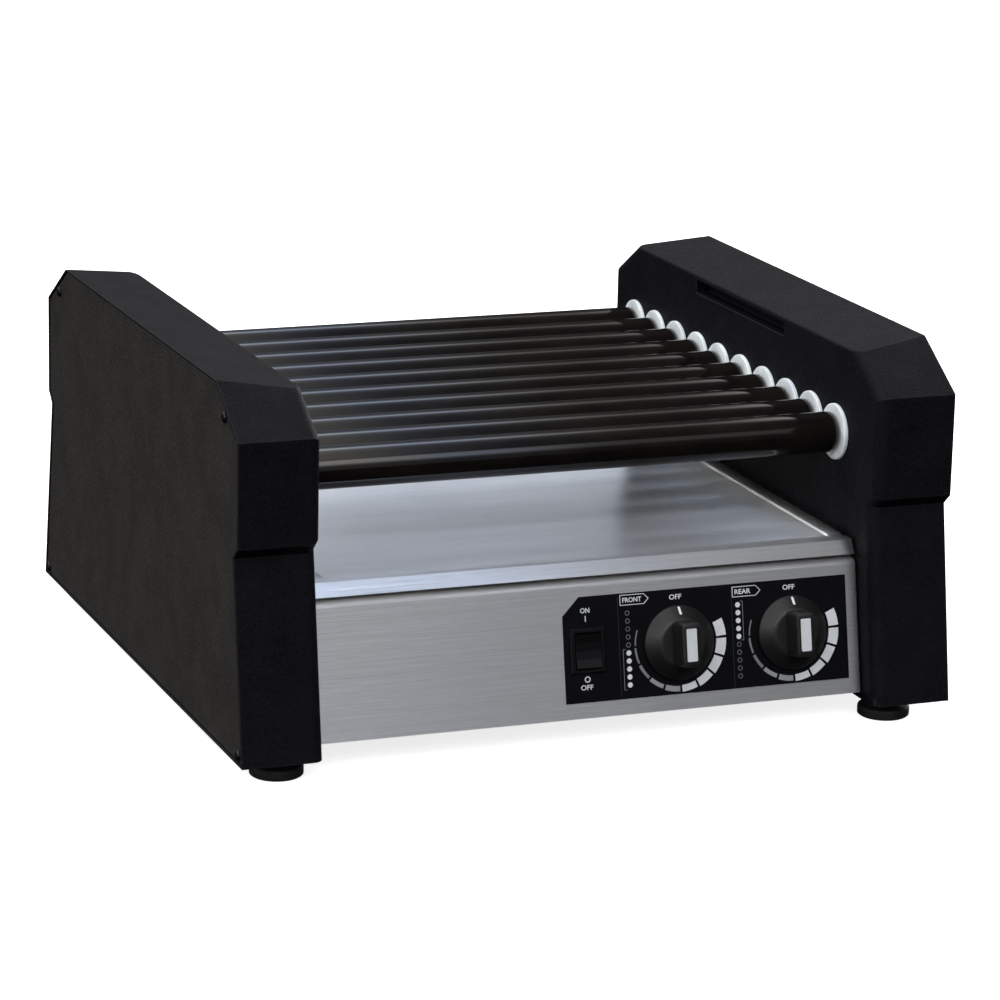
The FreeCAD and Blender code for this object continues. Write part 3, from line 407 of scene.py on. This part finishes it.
def along_x(x, y, z):
    """Local Z laid along X, in metres from millimetres."""
    turned = Matrix.Rotation(math.pi / 2, 4, "Y") @ Matrix.Scale(MM, 4)
    return Matrix.Translation(Vector((x, y, z)) * MM) @ turned


def upright(x, y, z):
    return Matrix.Translation(Vector((x, y, z)) * MM) @ Matrix.Scale(MM, 4)


def on_panel(across, up):
    """Local XY laid on the tilted front panel, Z out of it."""
    return PANEL_FRAME @ upright(across, up, 0.0)


def add_plate(bm, outer, low, high, place, inner=None):
    """Flat plate from an outline, with an optional hole that has as many points as the outline."""
    def ring(points, z):
        return [bm.verts.new(place @ Vector((x, y, z))) for x, y in points]

    loops = [(ring(outer, low), ring(outer, high))]
    if inner:
        loops.append((ring(inner, low), ring(inner, high)))
    for below, above in loops:
        count = len(below)
        for k in range(count):
            bm.faces.new((below[k], below[(k + 1) % count], above[(k + 1) % count], above[k]))
    for level in (0, 1):
        if not inner:
            bm.faces.new(loops[0][level])
            continue
        out_ring, in_ring = loops[0][level], loops[1][level]
        count = len(out_ring)
        for k in range(count):
            bm.faces.new((out_ring[k], out_ring[(k + 1) % count], in_ring[(k + 1) % count], in_ring[k]))


def circle(x, y, radius):
    steps = 24
    turns = (2 * math.pi * k / steps for k in range(steps))
    return [(x + radius * math.cos(a), y + radius * math.sin(a)) for a in turns]


def rectangle(x, y, width, height):
    return [(x - width / 2, y - height / 2), (x + width / 2, y - height / 2),
            (x + width / 2, y + height / 2), (x - width / 2, y + height / 2)]


def ring_sector(x, y, inner, outer, start, end):
    """Outline of part of a ring; angles in degrees."""
    steps = 10
    sweep = [math.radians(start + (end - start) * k / steps) for k in range(steps + 1)]
    return ([(x + outer * math.cos(a), y + outer * math.sin(a)) for a in sweep]
            + [(x + inner * math.cos(a), y + inner * math.sin(a)) for a in reversed(sweep)])


def soften(obj, angle):
    """Small rounded edges where faces meet at more than an angle in degrees."""
    bevel = obj.modifiers.new("soft_edges", "BEVEL")
    bevel.width = 0.25 * MM
    bevel.segments = 2
    bevel.limit_method = "ANGLE"
    bevel.angle_limit = math.radians(angle)
    bevel.harden_normals = True


# ---------------------------------------------------------------- rollers and bushes
def roller_y(index):
    return ROLLER_FRONT_Y + index * ROLLER_PITCH


def make_rollers():
    """Tubes with a wall that stands past a recessed end disc, on hollow journals."""
    end = ROLLER_END_X
    disc = end - 1.2
    wall = ROLLER_RADIUS - 1.6
    outline = [(JOURNAL_LEFT_X, JOURNAL_BORE), (JOURNAL_LEFT_X, JOURNAL_RADIUS), (-disc, JOURNAL_RADIUS),
               (-disc, wall), (-end, wall), (-end, ROLLER_RADIUS), (end, ROLLER_RADIUS), (end, wall),
               (disc, wall), (disc, JOURNAL_RADIUS), (JOURNAL_RIGHT_X, JOURNAL_RADIUS),
               (JOURNAL_RIGHT_X, JOURNAL_BORE)]
    radii = [0.3, 0.5, 0.2, 0.2, 0.2, 0.7, 0.7, 0.2, 0.2, 0.2, 0.5, 0.3]
    for i in range(ROLLER_COUNT):
        bm = bmesh.new()
        add_turned(bm, rounded(outline, radii, 3), along_x(0, roller_y(i), ROLLER_Z), 72)
        node = "roller_%02d" % (i + 1)
        piece("coated_" + node, finish_mesh(bm, node), node, "roller_black", [node])


def make_bushes():
    """Flange against the wall and hub through it, with a little room round the journal."""
    bore = JOURNAL_RADIUS + PLAY
    back = WALL_X - PLAY
    outline = [(BUSH_FACE_X, bore), (BUSH_FACE_X, BUSH_RADIUS), (back, BUSH_RADIUS),
               (back, BUSH_HUB_RADIUS), (BUSH_HUB_END, BUSH_HUB_RADIUS), (BUSH_HUB_END, bore)]
    radii = [0.3, 0.8, 0.2, 0.2, 0.5, 0.3]
    for side, name in ((1, "right"), (-1, "left")):
        bm = bmesh.new()
        for i in range(ROLLER_COUNT):
            add_turned(bm, rounded([(side * x, r) for x, r in outline], radii, 3),
                       along_x(0, roller_y(i), ROLLER_Z), 64)
        node = "bushes_" + name
        piece("flanged_" + node, finish_mesh(bm, node), "base", "bush_white", [node])


# ---------------------------------------------------------------- feet and screws
def make_feet():
    """Rubber foot on a stud: (height, radius) from the table up."""
    outline = [(0, 0), (0, 14.6), (1.0, 16.1), (6.5, 16.1), (7.6, 11.6), (14.5, 10.5),
               (14.5, 4.0), (26.0, 4.0), (26.0, 0)]
    radii = [0, 0.6, 0.9, 1.5, 1.2, 0.6, 0.2, 0.6, 0]
    bm = bmesh.new()
    for x, y in FOOT_PLACES:
        add_turned(bm, rounded(outline, radii, 3), upright(x, y, 0), 64)
    piece("moulded_feet", finish_mesh(bm, "feet"), "base", "foot_rubber", ["feet"])


def screw_mesh():
    """Pan-head screw with a cross recess, head at the origin facing +Z, in millimetres."""
    bm = bmesh.new()
    outline = [(-7.0, 0), (-7.0, 1.6), (-6.4, 1.9), (0, 1.9), (0, 3.3), (0.9, 3.3), (1.6, 2.7),
               (2.0, 1.7), (2.1, 0)]
    radii = [0, 0, 0, 0, 0.15, 0.5, 0.4, 0.4, 0]
    add_turned(bm, rounded(outline, radii, 3), Matrix.Identity(4), 40)
    head = finish_mesh(bm, "screw_head")
    bm = bmesh.new()
    arm, width, deep, above = 1.75, 0.36, 1.0, 4.0
    cross = [(width, width), (width, arm), (-width, arm), (-width, width), (-arm, width), (-arm, -width),
             (-width, -width), (-width, -arm), (width, -arm), (width, -width), (arm, -width), (arm, width)]
    add_plate(bm, cross, deep, above, Matrix.Identity(4))
    cutter = finish_mesh(bm, "screw_cross")
    solid = bpy.data.objects.new("screw_solid", head)
    tool = bpy.data.objects.new("screw_tool", cutter)
    for o in (solid, tool):
        bpy.context.scene.collection.objects.link(o)
    cut = solid.modifiers.new("cross", "BOOLEAN")
    cut.operation = "DIFFERENCE"
    cut.solver = "EXACT"
    cut.object = tool
    depsgraph = bpy.context.evaluated_depsgraph_get()
    made = bpy.data.meshes.new_from_object(solid.evaluated_get(depsgraph))
    for o in (solid, tool):
        bpy.data.objects.remove(o)
    return made


def make_screws():
    """Four screws on each side panel, each turned a different way."""
    first_turn, turn_step = 25, 37
    single = screw_mesh()
    bm = bmesh.new()
    for side in (-1, 1):
        for number, (y, z) in enumerate(SIDE_SCREWS):
            turn = Matrix.Rotation(math.radians(first_turn + turn_step * number), 4, "Z")
            face = Matrix.Translation(Vector((side * SIDE_FACE_X, y, z)) * MM)
            face = face @ Matrix.Rotation(side * math.pi / 2, 4, "Y") @ turn @ Matrix.Scale(MM, 4)
            copy = single.copy()
            copy.transform(face)
            bm.from_mesh(copy)
            bpy.data.meshes.remove(copy)
    piece("cross_head_screws", finish_mesh(bm, "screws"), "base", "screw_black",
          ["side_screws"])


# ---------------------------------------------------------------- drip tray
TRAY_TOP = 111.6
TRAY_SHEET = 1.2
TRAY_FOLD_RADIUS = 1.2
TRAY_FLAT_HALF = 163.0
TRAY_STEP_HALF = 163.9
TRAY_RIM_HALF = 173.4
TRAY_RIM_RISE = 0.9
TRAY_RIM_START_Y = -172.6
TRAY_RIM_FULL_Y = -169.0
TRAY_LIP_Y = -181.0
TRAY_LIP_HALF = 175.2
TRAY_LIP_RUN = 4.7
TRAY_LIP_DROP = 8.2
TRAY_REAR_Y = 176.0
TRAY_REAR_RISE = 6.0


def fold(before, corner, after, radius, steps=4):
    """Points of the arc that rounds one corner of an open line."""
    return rounded([before, corner, after], [0, radius, 0], steps)[1:-1]


def tray_rows():
    """Side view of the bed as (y, z), from the lip's lower edge to the rear edge."""
    lip_edge = (TRAY_LIP_Y - TRAY_LIP_RUN, TRAY_TOP - TRAY_LIP_DROP)
    rows = [lip_edge]
    rows += fold(lip_edge, (TRAY_LIP_Y, TRAY_TOP), (TRAY_LIP_Y + 6, TRAY_TOP), TRAY_FOLD_RADIUS)
    rows += [(y, TRAY_TOP) for y in (TRAY_RIM_START_Y, -171.0, TRAY_RIM_FULL_Y, -140.0, 0.0, 140.0)]
    rows += [(TRAY_REAR_Y - 2.4, TRAY_TOP), (TRAY_REAR_Y - 1.4, TRAY_TOP + 0.3),
             (TRAY_REAR_Y - 0.9, TRAY_TOP + 1.2), (TRAY_REAR_Y - 0.6, TRAY_TOP + TRAY_REAR_RISE)]
    return rows


def tray_columns():
    """Front view of the bed as (x, share of the rim's rise), from left to right."""
    half = [(60.0, 0.0), (TRAY_FLAT_HALF - 0.3, 0.0), (TRAY_FLAT_HALF, 0.12), (TRAY_STEP_HALF, 0.88),
            (TRAY_STEP_HALF + 0.3, 1.0), (TRAY_RIM_HALF, 1.0), (TRAY_LIP_HALF, 0.0)]
    return [(-x, share) for x, share in reversed(half)] + [(0.0, 0.0)] + half


def make_tray():
    """Pressed sheet: flat bed, low level rims, rounded front bend, sloping lip and turned-up rear edge."""
    columns = tray_columns()
    bm = bmesh.new()
    grid = []
    for y, z in tray_rows():
        along_rim = (y - TRAY_RIM_START_Y) / (TRAY_RIM_FULL_Y - TRAY_RIM_START_Y)
        lift = TRAY_RIM_RISE * min(1.0, max(0.0, along_rim))
        behind_lip = y > TRAY_RIM_START_Y + 0.6
        turned_up = z > TRAY_TOP + 0.1
        line = []
        for x, share in columns:
            if behind_lip and abs(x) > TRAY_RIM_HALF:
                line.append(None)
                continue
            level = turned_up and abs(x) > TRAY_FLAT_HALF
            line.append(bm.verts.new(Vector((x, y, z + (0.0 if level else share * lift))) * MM))
        grid.append(line)
    for lower, upper in zip(grid, grid[1:]):
        for k in range(len(columns) - 1):
            corners = [lower[k], lower[k + 1], upper[k + 1], upper[k]]
            if all(corners):
                bm.faces.new(corners)
    mesh = finish_mesh(bm, "tray")
    if mesh.polygons[0].normal.z < 0:
        mesh.flip_normals()
    tray = piece("pressed_tray", mesh, "tray", "tray_stainless", ["drip_tray"], 22.0)
    thick = tray.modifiers.new("sheet", "SOLIDIFY")
    thick.thickness = TRAY_SHEET * MM
    thick.offset = -1.0
    thick.use_even_offset = True
    soften(tray, 50.0)


# ---------------------------------------------------------------- controls
def scaled(outline, scale_x, scale_y):
    """The same outline drawn in or out, about the origin."""
    return [(x * scale_x, y * scale_y) for x, y in outline]


def make_knob(zone):
    """Conical knob with a drafted grip bar, a shallow pocket for the inlay and a pointer mark on the cone."""
    place = on_panel(KNOB_ACROSS[zone], KNOB_UP)
    node = "knob_" + zone
    base = OVERLAY_FACE + 1.0
    rim = base + 1.5
    bm = bmesh.new()
    outline = [(base, 0), (base, KNOB_RADIUS), (rim, KNOB_RADIUS), (KNOB_FACE, KNOB_FACE_RADIUS),
               (KNOB_FACE - 0.5, 0)]
    add_turned(bm, rounded(outline, [0, 0.3, 0.8, 5.0, 0], 6), place, 96)
    root_width, root_length = KNOB_GRIP_ROOT
    top_width, top_length = KNOB_GRIP_TOP
    root = rounded(rectangle(0, 0, root_width, root_length), 2.6, 5)
    top = scaled(root, top_width / root_width, top_length / root_length)
    shoulder = scaled(top, 1 - 0.4 / top_width, 1 - 0.4 / top_length)
    crown = scaled(top, 1 - 1.4 / top_width, 1 - 1.4 / top_length)
    pocket = rounded(rectangle(0, 0, *KNOB_POCKET), 0.7, 5)
    levels = [(root, KNOB_FACE - 1.2), (top, KNOB_HEIGHT - 0.8), (shoulder, KNOB_HEIGHT - 0.25),
              (crown, KNOB_HEIGHT), (pocket, KNOB_HEIGHT), (pocket, KNOB_HEIGHT - 0.75)]
    rings = [[bm.verts.new(place @ Vector((x, y, z))) for x, y in points] for points, z in levels]
    count = len(root)
    for ring, after in zip(rings, rings[1:]):
        for k in range(count):
            bm.faces.new((ring[k], ring[(k + 1) % count], after[(k + 1) % count], after[k]))
    bm.faces.new(rings[0])
    bm.faces.new(rings[-1])
    piece("moulded_" + node, finish_mesh(bm, node), node, "knob_black", [node], 35.0)

    bm = bmesh.new()
    slope = math.atan2(KNOB_FACE - rim, KNOB_RADIUS - KNOB_FACE_RADIUS)
    down_cone = 0.62
    mark_width, mark_length, mark_half_thick = 1.5, 5.6, 0.1
    from_axis = KNOB_FACE_RADIUS + down_cone * (KNOB_RADIUS - KNOB_FACE_RADIUS)
    height = KNOB_FACE - down_cone * (KNOB_FACE - rim)
    tick = place @ Matrix.Translation((0, from_axis, height)) @ Matrix.Rotation(-slope, 4, "X")
    mark = rounded(rectangle(0, 0, mark_width, mark_length), 0.3, 2)
    add_plate(bm, mark, -mark_half_thick, mark_half_thick, tick)
    piece("pointer_" + node, finish_mesh(bm, "pointer"), node, "ink_white")


# Printed marks stand a little above the overlay and reach a little into it
INK_LOW = OVERLAY_FACE - 0.02
INK_HIGH = OVERLAY_FACE + 0.06
LETTER_WEIGHT = 0.016
LETTER_HEIGHT = 3.1


def text_mesh(words, width, height):
    """Plain bold capitals centred on the origin, scaled to a width and a cap height in millimetres."""
    data = bpy.data.curves.new(words, "FONT")
    data.body = words
    data.align_x = "CENTER"
    data.size = 1.0
    data.offset = LETTER_WEIGHT
    data.resolution_u = 3
    holder = bpy.data.objects.new(words, data)
    bpy.context.scene.collection.objects.link(holder)
    depsgraph = bpy.context.evaluated_depsgraph_get()
    mesh = bpy.data.meshes.new_from_object(holder.evaluated_get(depsgraph))
    bpy.data.objects.remove(holder)
    xs = [v.co.x for v in mesh.vertices]
    ys = [v.co.y for v in mesh.vertices]
    centre = Vector(((min(xs) + max(xs)) / 2, (min(ys) + max(ys)) / 2, 0))
    scale = Vector((width / (max(xs) - min(xs)), height / (max(ys) - min(ys)), 1))
    mesh.transform(Matrix.Diagonal((*scale, 1)) @ Matrix.Translation(-centre))
    return mesh


def add_text(bm, words, across, up, width, height=LETTER_HEIGHT):
    """Raised letters centred on a place on the panel."""
    flat = text_mesh(words, width, height)
    part = bmesh.new()
    part.from_mesh(flat)
    bmesh.ops.remove_doubles(part, verts=part.verts, dist=0.001)
    bmesh.ops.recalc_face_normals(part, faces=part.faces)
    grown = bmesh.ops.extrude_face_region(part, geom=part.faces[:])
    for v in (g for g in grown["geom"] if isinstance(g, bmesh.types.BMVert)):
        v.co.z = INK_HIGH
    for v in part.verts:
        if v.co.z < INK_HIGH / 2:
            v.co.z = INK_LOW
    part.transform(on_panel(across, up))
    part.to_mesh(flat)
    part.free()
    bm.from_mesh(flat)
    bpy.data.meshes.remove(flat)


def add_mark(bm, outer, inner=None):
    """Raised mark on the overlay, given in millimetres across and up the panel."""
    add_plate(bm, outer, INK_LOW, INK_HIGH, on_panel(0, 0), inner)


def add_outline(bm, points, width):
    """Closed line of even width that follows a convex outline."""
    count = len(points)
    centre = Vector((sum(p[0] for p in points) / count, sum(p[1] for p in points) / count))
    outer, inner = [], []
    for i, point in enumerate(points):
        here = Vector(point)
        before = (here - Vector(points[i - 1])).normalized()
        after = (Vector(points[(i + 1) % count]) - here).normalized()
        normal = Vector((before.y, -before.x)) + Vector((after.y, -after.x))
        normal = normal.normalized() / max(0.3, math.cos(before.angle(after) / 2))
        if normal.dot(here - centre) < 0:
            normal = -normal
        outer.append(tuple(here + normal * width / 2))
        inner.append(tuple(here - normal * width / 2))
    add_mark(bm, outer, inner)


def add_bracket(bm, across, top, bottom, side):
    """Square bracket; side is the direction its feet point."""
    line, foot = 0.32, 1.7
    a, b = across, across + side * foot
    points = [(a, top), (b, top), (b, top - line), (a + side * line, top - line),
              (a + side * line, bottom + line), (b, bottom + line), (b, bottom), (a, bottom)]
    add_mark(bm, points)


def add_switch_legends(ink):
    """ON with a bar above the switch, a ring with OFF below it."""
    add_text(ink, "ON", -4.3, 65.0, 6.0)
    add_mark(ink, rectangle(-4.2, 59.9, 0.55, 3.6))
    add_mark(ink, circle(-4.4, 23.5, 1.9), circle(-4.4, 23.5, 1.25))
    add_text(ink, "OFF", -4.9, 18.7, 8.0)


def add_zone_flag(ink, left, up, words, width):
    """A word in a frame that ends in a point on the right."""
    length, half_height, nose_length, line = 18.4, 3.0, 3.0, 0.42
    inset, nudge = 1.2, 0.3
    low, high, nose = up - half_height, up + half_height, left + length
    frame_points = [(left, low), (nose - nose_length, low), (nose, up), (nose - nose_length, high),
                    (left, high)]
    add_outline(ink, frame_points, line)
    add_text(ink, words, left + inset + width / 2 + nudge, up, width, 3.0)


def add_lamp_column(lit_ink, dim_ink, across, top, lit):
    """Ten dots, one for each roller: filled where the zone heats, an empty ring elsewhere."""
    pitch = 4.83
    for k in range(ROLLER_COUNT):
        up = top - k * pitch
        if k in lit:
            add_mark(lit_ink, circle(across, up, 1.62))
        else:
            add_mark(dim_ink, circle(across, up, 1.45), circle(across, up, 1.13))


def add_knob_scale(inks, across):
    """Ring of segments round a knob that grow wider and brighter from low to high."""
    segments = 10
    start, sweep, gap = 158.7, 226.0, 3.0
    for k in range(segments):
        share = k / (segments - 1)
        wide = 0.8 + 5.7 * min(1.0, share * 1.2) ** 1.3
        middle = 27.9 + 0.6 * share
        ink = inks["ink_dim" if k < 3 else "ink_grey" if k < 5 else "ink_white"]
        first = start + sweep / segments * k + gap / 2
        last = start + sweep / segments * (k + 1) - gap / 2
        add_mark(ink, ring_sector(across, KNOB_UP, middle - wide / 2, middle + wide / 2, first, last))


def make_legends():
    inks = {name: bmesh.new() for name in ("ink_white", "ink_grey", "ink_dim", "ink_faint")}
    white, dim, faint = inks["ink_white"], inks["ink_dim"], inks["ink_faint"]
    add_switch_legends(white)
    add_zone_flag(white, 18.7, 69.2, "FRONT", 12.4)
    add_zone_flag(white, 92.4, 68.4, "REAR", 10.6)
    add_lamp_column(white, dim, 23.0, 61.3, range(5, 10))
    add_lamp_column(white, dim, 95.6, 60.5, range(0, 5))
    add_bracket(dim, 19.2, 39.6, 14.8, 1)
    add_bracket(dim, 98.9, 62.7, 38.7, -1)
    for across in KNOB_ACROSS.values():
        add_text(white, "OFF", across - 0.6, 68.65, 8.0)
        add_knob_scale(inks, across)
    for across in (17.0, 91.6):
        add_mark(faint, rectangle(across, 40.8, 0.3, 62.0))
    for name, bm in inks.items():
        piece("legend_" + name, finish_mesh(bm, name), "base", name)


# ---------------------------------------------------------------- surroundings
# Brightness of the surround by angle: 0 is the horizon in front, 90 overhead, 180 the horizon behind
SURROUND = [(0, 0.20), (15, 0.20), (22, 0.6), (31, 2.1), (44, 2.1), (52, 0.18), (80, 0.20), (94, 0.30),
            (108, 0.55), (117, 1.3), (121, 2.6), (127, 2.6), (133, 0.9), (143, 0.3), (160, 0.15),
            (180, 0.12)]
SURROUND_PEAK = 3.0              # above every level in the list, so that the colour ramp stays under 1
SURROUND_LEFT = 1.20
SURROUND_RIGHT = 0.30
SURROUND_FAR_LEFT = 1.0
SURROUND_REAR_RIGHT = 4.5
SURROUND_TOP_LEFT = 1.3
SURROUND_BELOW = 0.03
SURROUND_COLOUR = (1.0, 0.985, 0.955, 1)
WINDOW_COLOUR = (0.80, 0.93, 1.20, 1)
FLOOR_SIZE = 40.0
BACKDROP_RADIUS = 18.0           # every camera's clip distance has to reach it


def stage_object(name, bm, material, hidden_from):
    """Something that isn't part of the machine, hidden from the kinds of ray that are named."""
    mesh = bpy.data.meshes.new(name)
    bm.to_mesh(mesh)
    bm.free()
    mesh.materials.append(material)
    obj = bpy.data.objects.new(name, mesh)
    bpy.context.scene.collection.objects.link(obj)
    for rays in hidden_from:
        setattr(obj, "visible_" + rays, False)
    return obj


def make_floor():
    """Pale floor: the camera sees it, but it isn't seen in reflections and throws no light on the model."""
    bm = bmesh.new()
    bmesh.ops.create_grid(bm, x_segments=4, y_segments=4, size=FLOOR_SIZE)
    s = Shader("floor_white")
    cloud = s.noise(2.0, 2.0)
    s.set(Base_Color=s.blend(cloud, (0.86, 0.86, 0.86), (0.90, 0.90, 0.90)), Roughness=0.9,
          Emission_Color=(1, 1, 1), Emission_Strength=0.80)
    floor = stage_object("floor", bm, s.mat, ("glossy", "diffuse"))


def make_backdrop():
    """White dome on the floor: the camera sees it, but it neither lights nor shades the model."""
    bm = bmesh.new()
    bmesh.ops.create_uvsphere(bm, u_segments=48, v_segments=24, radius=BACKDROP_RADIUS)
    bmesh.ops.delete(bm, geom=[v for v in bm.verts if v.co.z < -0.01], context="VERTS")
    bmesh.ops.reverse_faces(bm, faces=bm.faces)
    s = Shader("backdrop_white")
    s.set(Base_Color=(0, 0, 0), Roughness=1.0, Specular_IOR_Level=0.0, Emission_Color=(1, 1, 1),
          Emission_Strength=1.05)
    dome = stage_object("backdrop", bm, s.mat,
                        ("diffuse", "glossy", "transmission", "volume_scatter", "shadow"))


def make_world():
    """Soft studio surround: a bright band in front, one behind and patches at the rear right and top left.

    The bands are brighter on the left, with a bluish strip right of the middle, and it is dim below.
    """
    world = bpy.data.worlds.new("studio")
    bpy.context.scene.world = world
    world.use_nodes = True
    tree = world.node_tree
    tree.nodes.clear()
    out = tree.nodes.new("ShaderNodeOutputWorld")
    background = tree.nodes.new("ShaderNodeBackground")
    coords = tree.nodes.new("ShaderNodeTexCoord")
    tree.links.new(background.outputs[0], out.inputs[0])

    def facing(direction, start, end, low, high):
        """Goes smoothly from low to high as the direction's share along an axis goes from start to end."""
        dot = tree.nodes.new("ShaderNodeVectorMath")
        dot.operation = "DOT_PRODUCT"
        tree.links.new(coords.outputs["Generated"], dot.inputs[0])
        dot.inputs[1].default_value = direction
        ramp = tree.nodes.new("ShaderNodeMapRange")
        ramp.interpolation_type = "SMOOTHSTEP"
        tree.links.new(dot.outputs["Value"], ramp.inputs["Value"])
        for key, value in (("From Min", start), ("From Max", end), ("To Min", low), ("To Max", high)):
            ramp.inputs[key].default_value = value
        return ramp.outputs["Result"]

    def join(operation, first, second):
        node = tree.nodes.new("ShaderNodeMath")
        node.operation = operation
        for socket, value in zip(node.inputs, (first, second)):
            if isinstance(value, bpy.types.NodeSocket):
                tree.links.new(value, socket)
            else:
                socket.default_value = value
        return node.outputs[0]

    parts = tree.nodes.new("ShaderNodeSeparateXYZ")
    tree.links.new(coords.outputs["Generated"], parts.inputs[0])
    x, y, z = parts.outputs
    angle = join("ARCTAN2", z, join("MULTIPLY", y, -1.0))
    ramp = tree.nodes.new("ShaderNodeValToRGB")
    tree.links.new(join("DIVIDE", angle, math.pi), ramp.inputs[0])
    ramp.color_ramp.interpolation = "EASE"
    stops = ramp.color_ramp.elements
    while len(stops) < len(SURROUND):
        stops.new(0.5)
    for stop, (degrees, level) in zip(stops, SURROUND):
        stop.position = degrees / 180
        stop.color = (level / SURROUND_PEAK,) * 3 + (1,)
    right, behind, overhead = (1, 0, 0), (0, 1, 0), (0, 0, 1)
    far_left = join("MULTIPLY", facing(right, -0.45, 0.0, 0.4, 1.0),
                    facing(right, 0.0, 0.28, SURROUND_FAR_LEFT, 0.0))
    across = join("ADD", facing(right, 0.25, 0.43, SURROUND_LEFT, SURROUND_RIGHT), far_left)
    bands = join("MULTIPLY", join("MULTIPLY", ramp.outputs[0], SURROUND_PEAK), across)
    rear_right = join("MULTIPLY", facing(right, 0.46, 0.62, 0.0, SURROUND_REAR_RIGHT),
                      facing(behind, 0.2, 0.6, 0.0, 1.0))
    top_left = join("MULTIPLY", facing(overhead, 0.55, 0.90, 0.0, SURROUND_TOP_LEFT),
                    facing(right, 0.05, 0.28, 1.0, 0.0))
    lit = join("ADD", bands, join("ADD", rear_right, top_left))
    strength = join("MULTIPLY", lit, facing(overhead, -0.06, 0.02, SURROUND_BELOW, 1.0))
    tint = tree.nodes.new("ShaderNodeMix")
    tint.data_type = "RGBA"
    window = join("MULTIPLY", facing(right, 0.24, 0.40, 1.0, 0.0), facing(right, 0.14, 0.24, 0.0, 1.0))
    tree.links.new(window, tint.inputs[MIX_FACTOR])
    tint.inputs[MIX_FIRST].default_value = SURROUND_COLOUR
    tint.inputs[MIX_SECOND].default_value = WINDOW_COLOUR
    tree.links.new(tint.outputs[MIX_RESULT], background.inputs["Color"])
    tree.links.new(strength, background.inputs["Strength"])


def add_softbox(name, place, target, size, power, colour, receivers):
    """Rectangular soft light that shines on the receivers only."""
    data = bpy.data.lights.new(name, "AREA")
    data.shape = "RECTANGLE"
    data.size, data.size_y = size
    data.energy = power
    data.color = colour
    lamp = bpy.data.objects.new(name, data)
    lamp.location = place
    lamp.rotation_mode = "QUATERNION"
    lamp.rotation_quaternion = (Vector(target) - Vector(place)).to_track_quat("-Z", "Y")
    lamp.visible_camera = False
    lamp.light_linking.receiver_collection = receivers
    bpy.context.scene.collection.objects.link(lamp)


def make_lights():
    """Two cards for the steel tray: one behind the machine on the right, one high in front."""
    tray_only = bpy.data.collections.new("tray_only")
    tray_only.objects.link(bpy.data.objects["pressed_tray"])
    add_softbox("rear_card", place=(0.27, 0.62, 0.26), target=(0.05, 0.0, 0.10), size=(0.46, 0.26),
                power=3.2, colour=(0.88, 0.95, 1.08), receivers=tray_only)
    add_softbox("front_card", place=(0.22, -1.22, 1.08), target=(-0.12, -0.18, 0.10), size=(0.55, 0.40),
                power=0.9, colour=(0.62, 0.84, 1.30), receivers=tray_only)


# ---------------------------------------------------------------- build
def finish_cad_nodes():
    """Give each CAD node the material of its slot, and soften the edges of the switch and the knob inlays."""
    for obj in NODES.values():
        slot = obj.data.materials[0].name.split(".")[0] if obj.data.materials else ""
        obj.data.materials.clear()
        obj.data.materials.append(MATERIALS.get(slot, MATERIALS["frame_steel"]))
    for name in ("switch_body", "switch_rocker", "knob_inlay_front", "knob_inlay_rear"):
        soften(NODES[name], 30.0)


make_camera()
finish_cad_nodes()
make_rollers()
make_bushes()
make_feet()
make_screws()
make_tray()
for knob_zone in KNOB_ACROSS:
    make_knob(knob_zone)
make_legends()
make_floor()
make_backdrop()
make_world()
make_lights()

bpy.context.scene.view_settings.view_transform = "Standard"
bpy.context.scene.view_settings.look = "None"
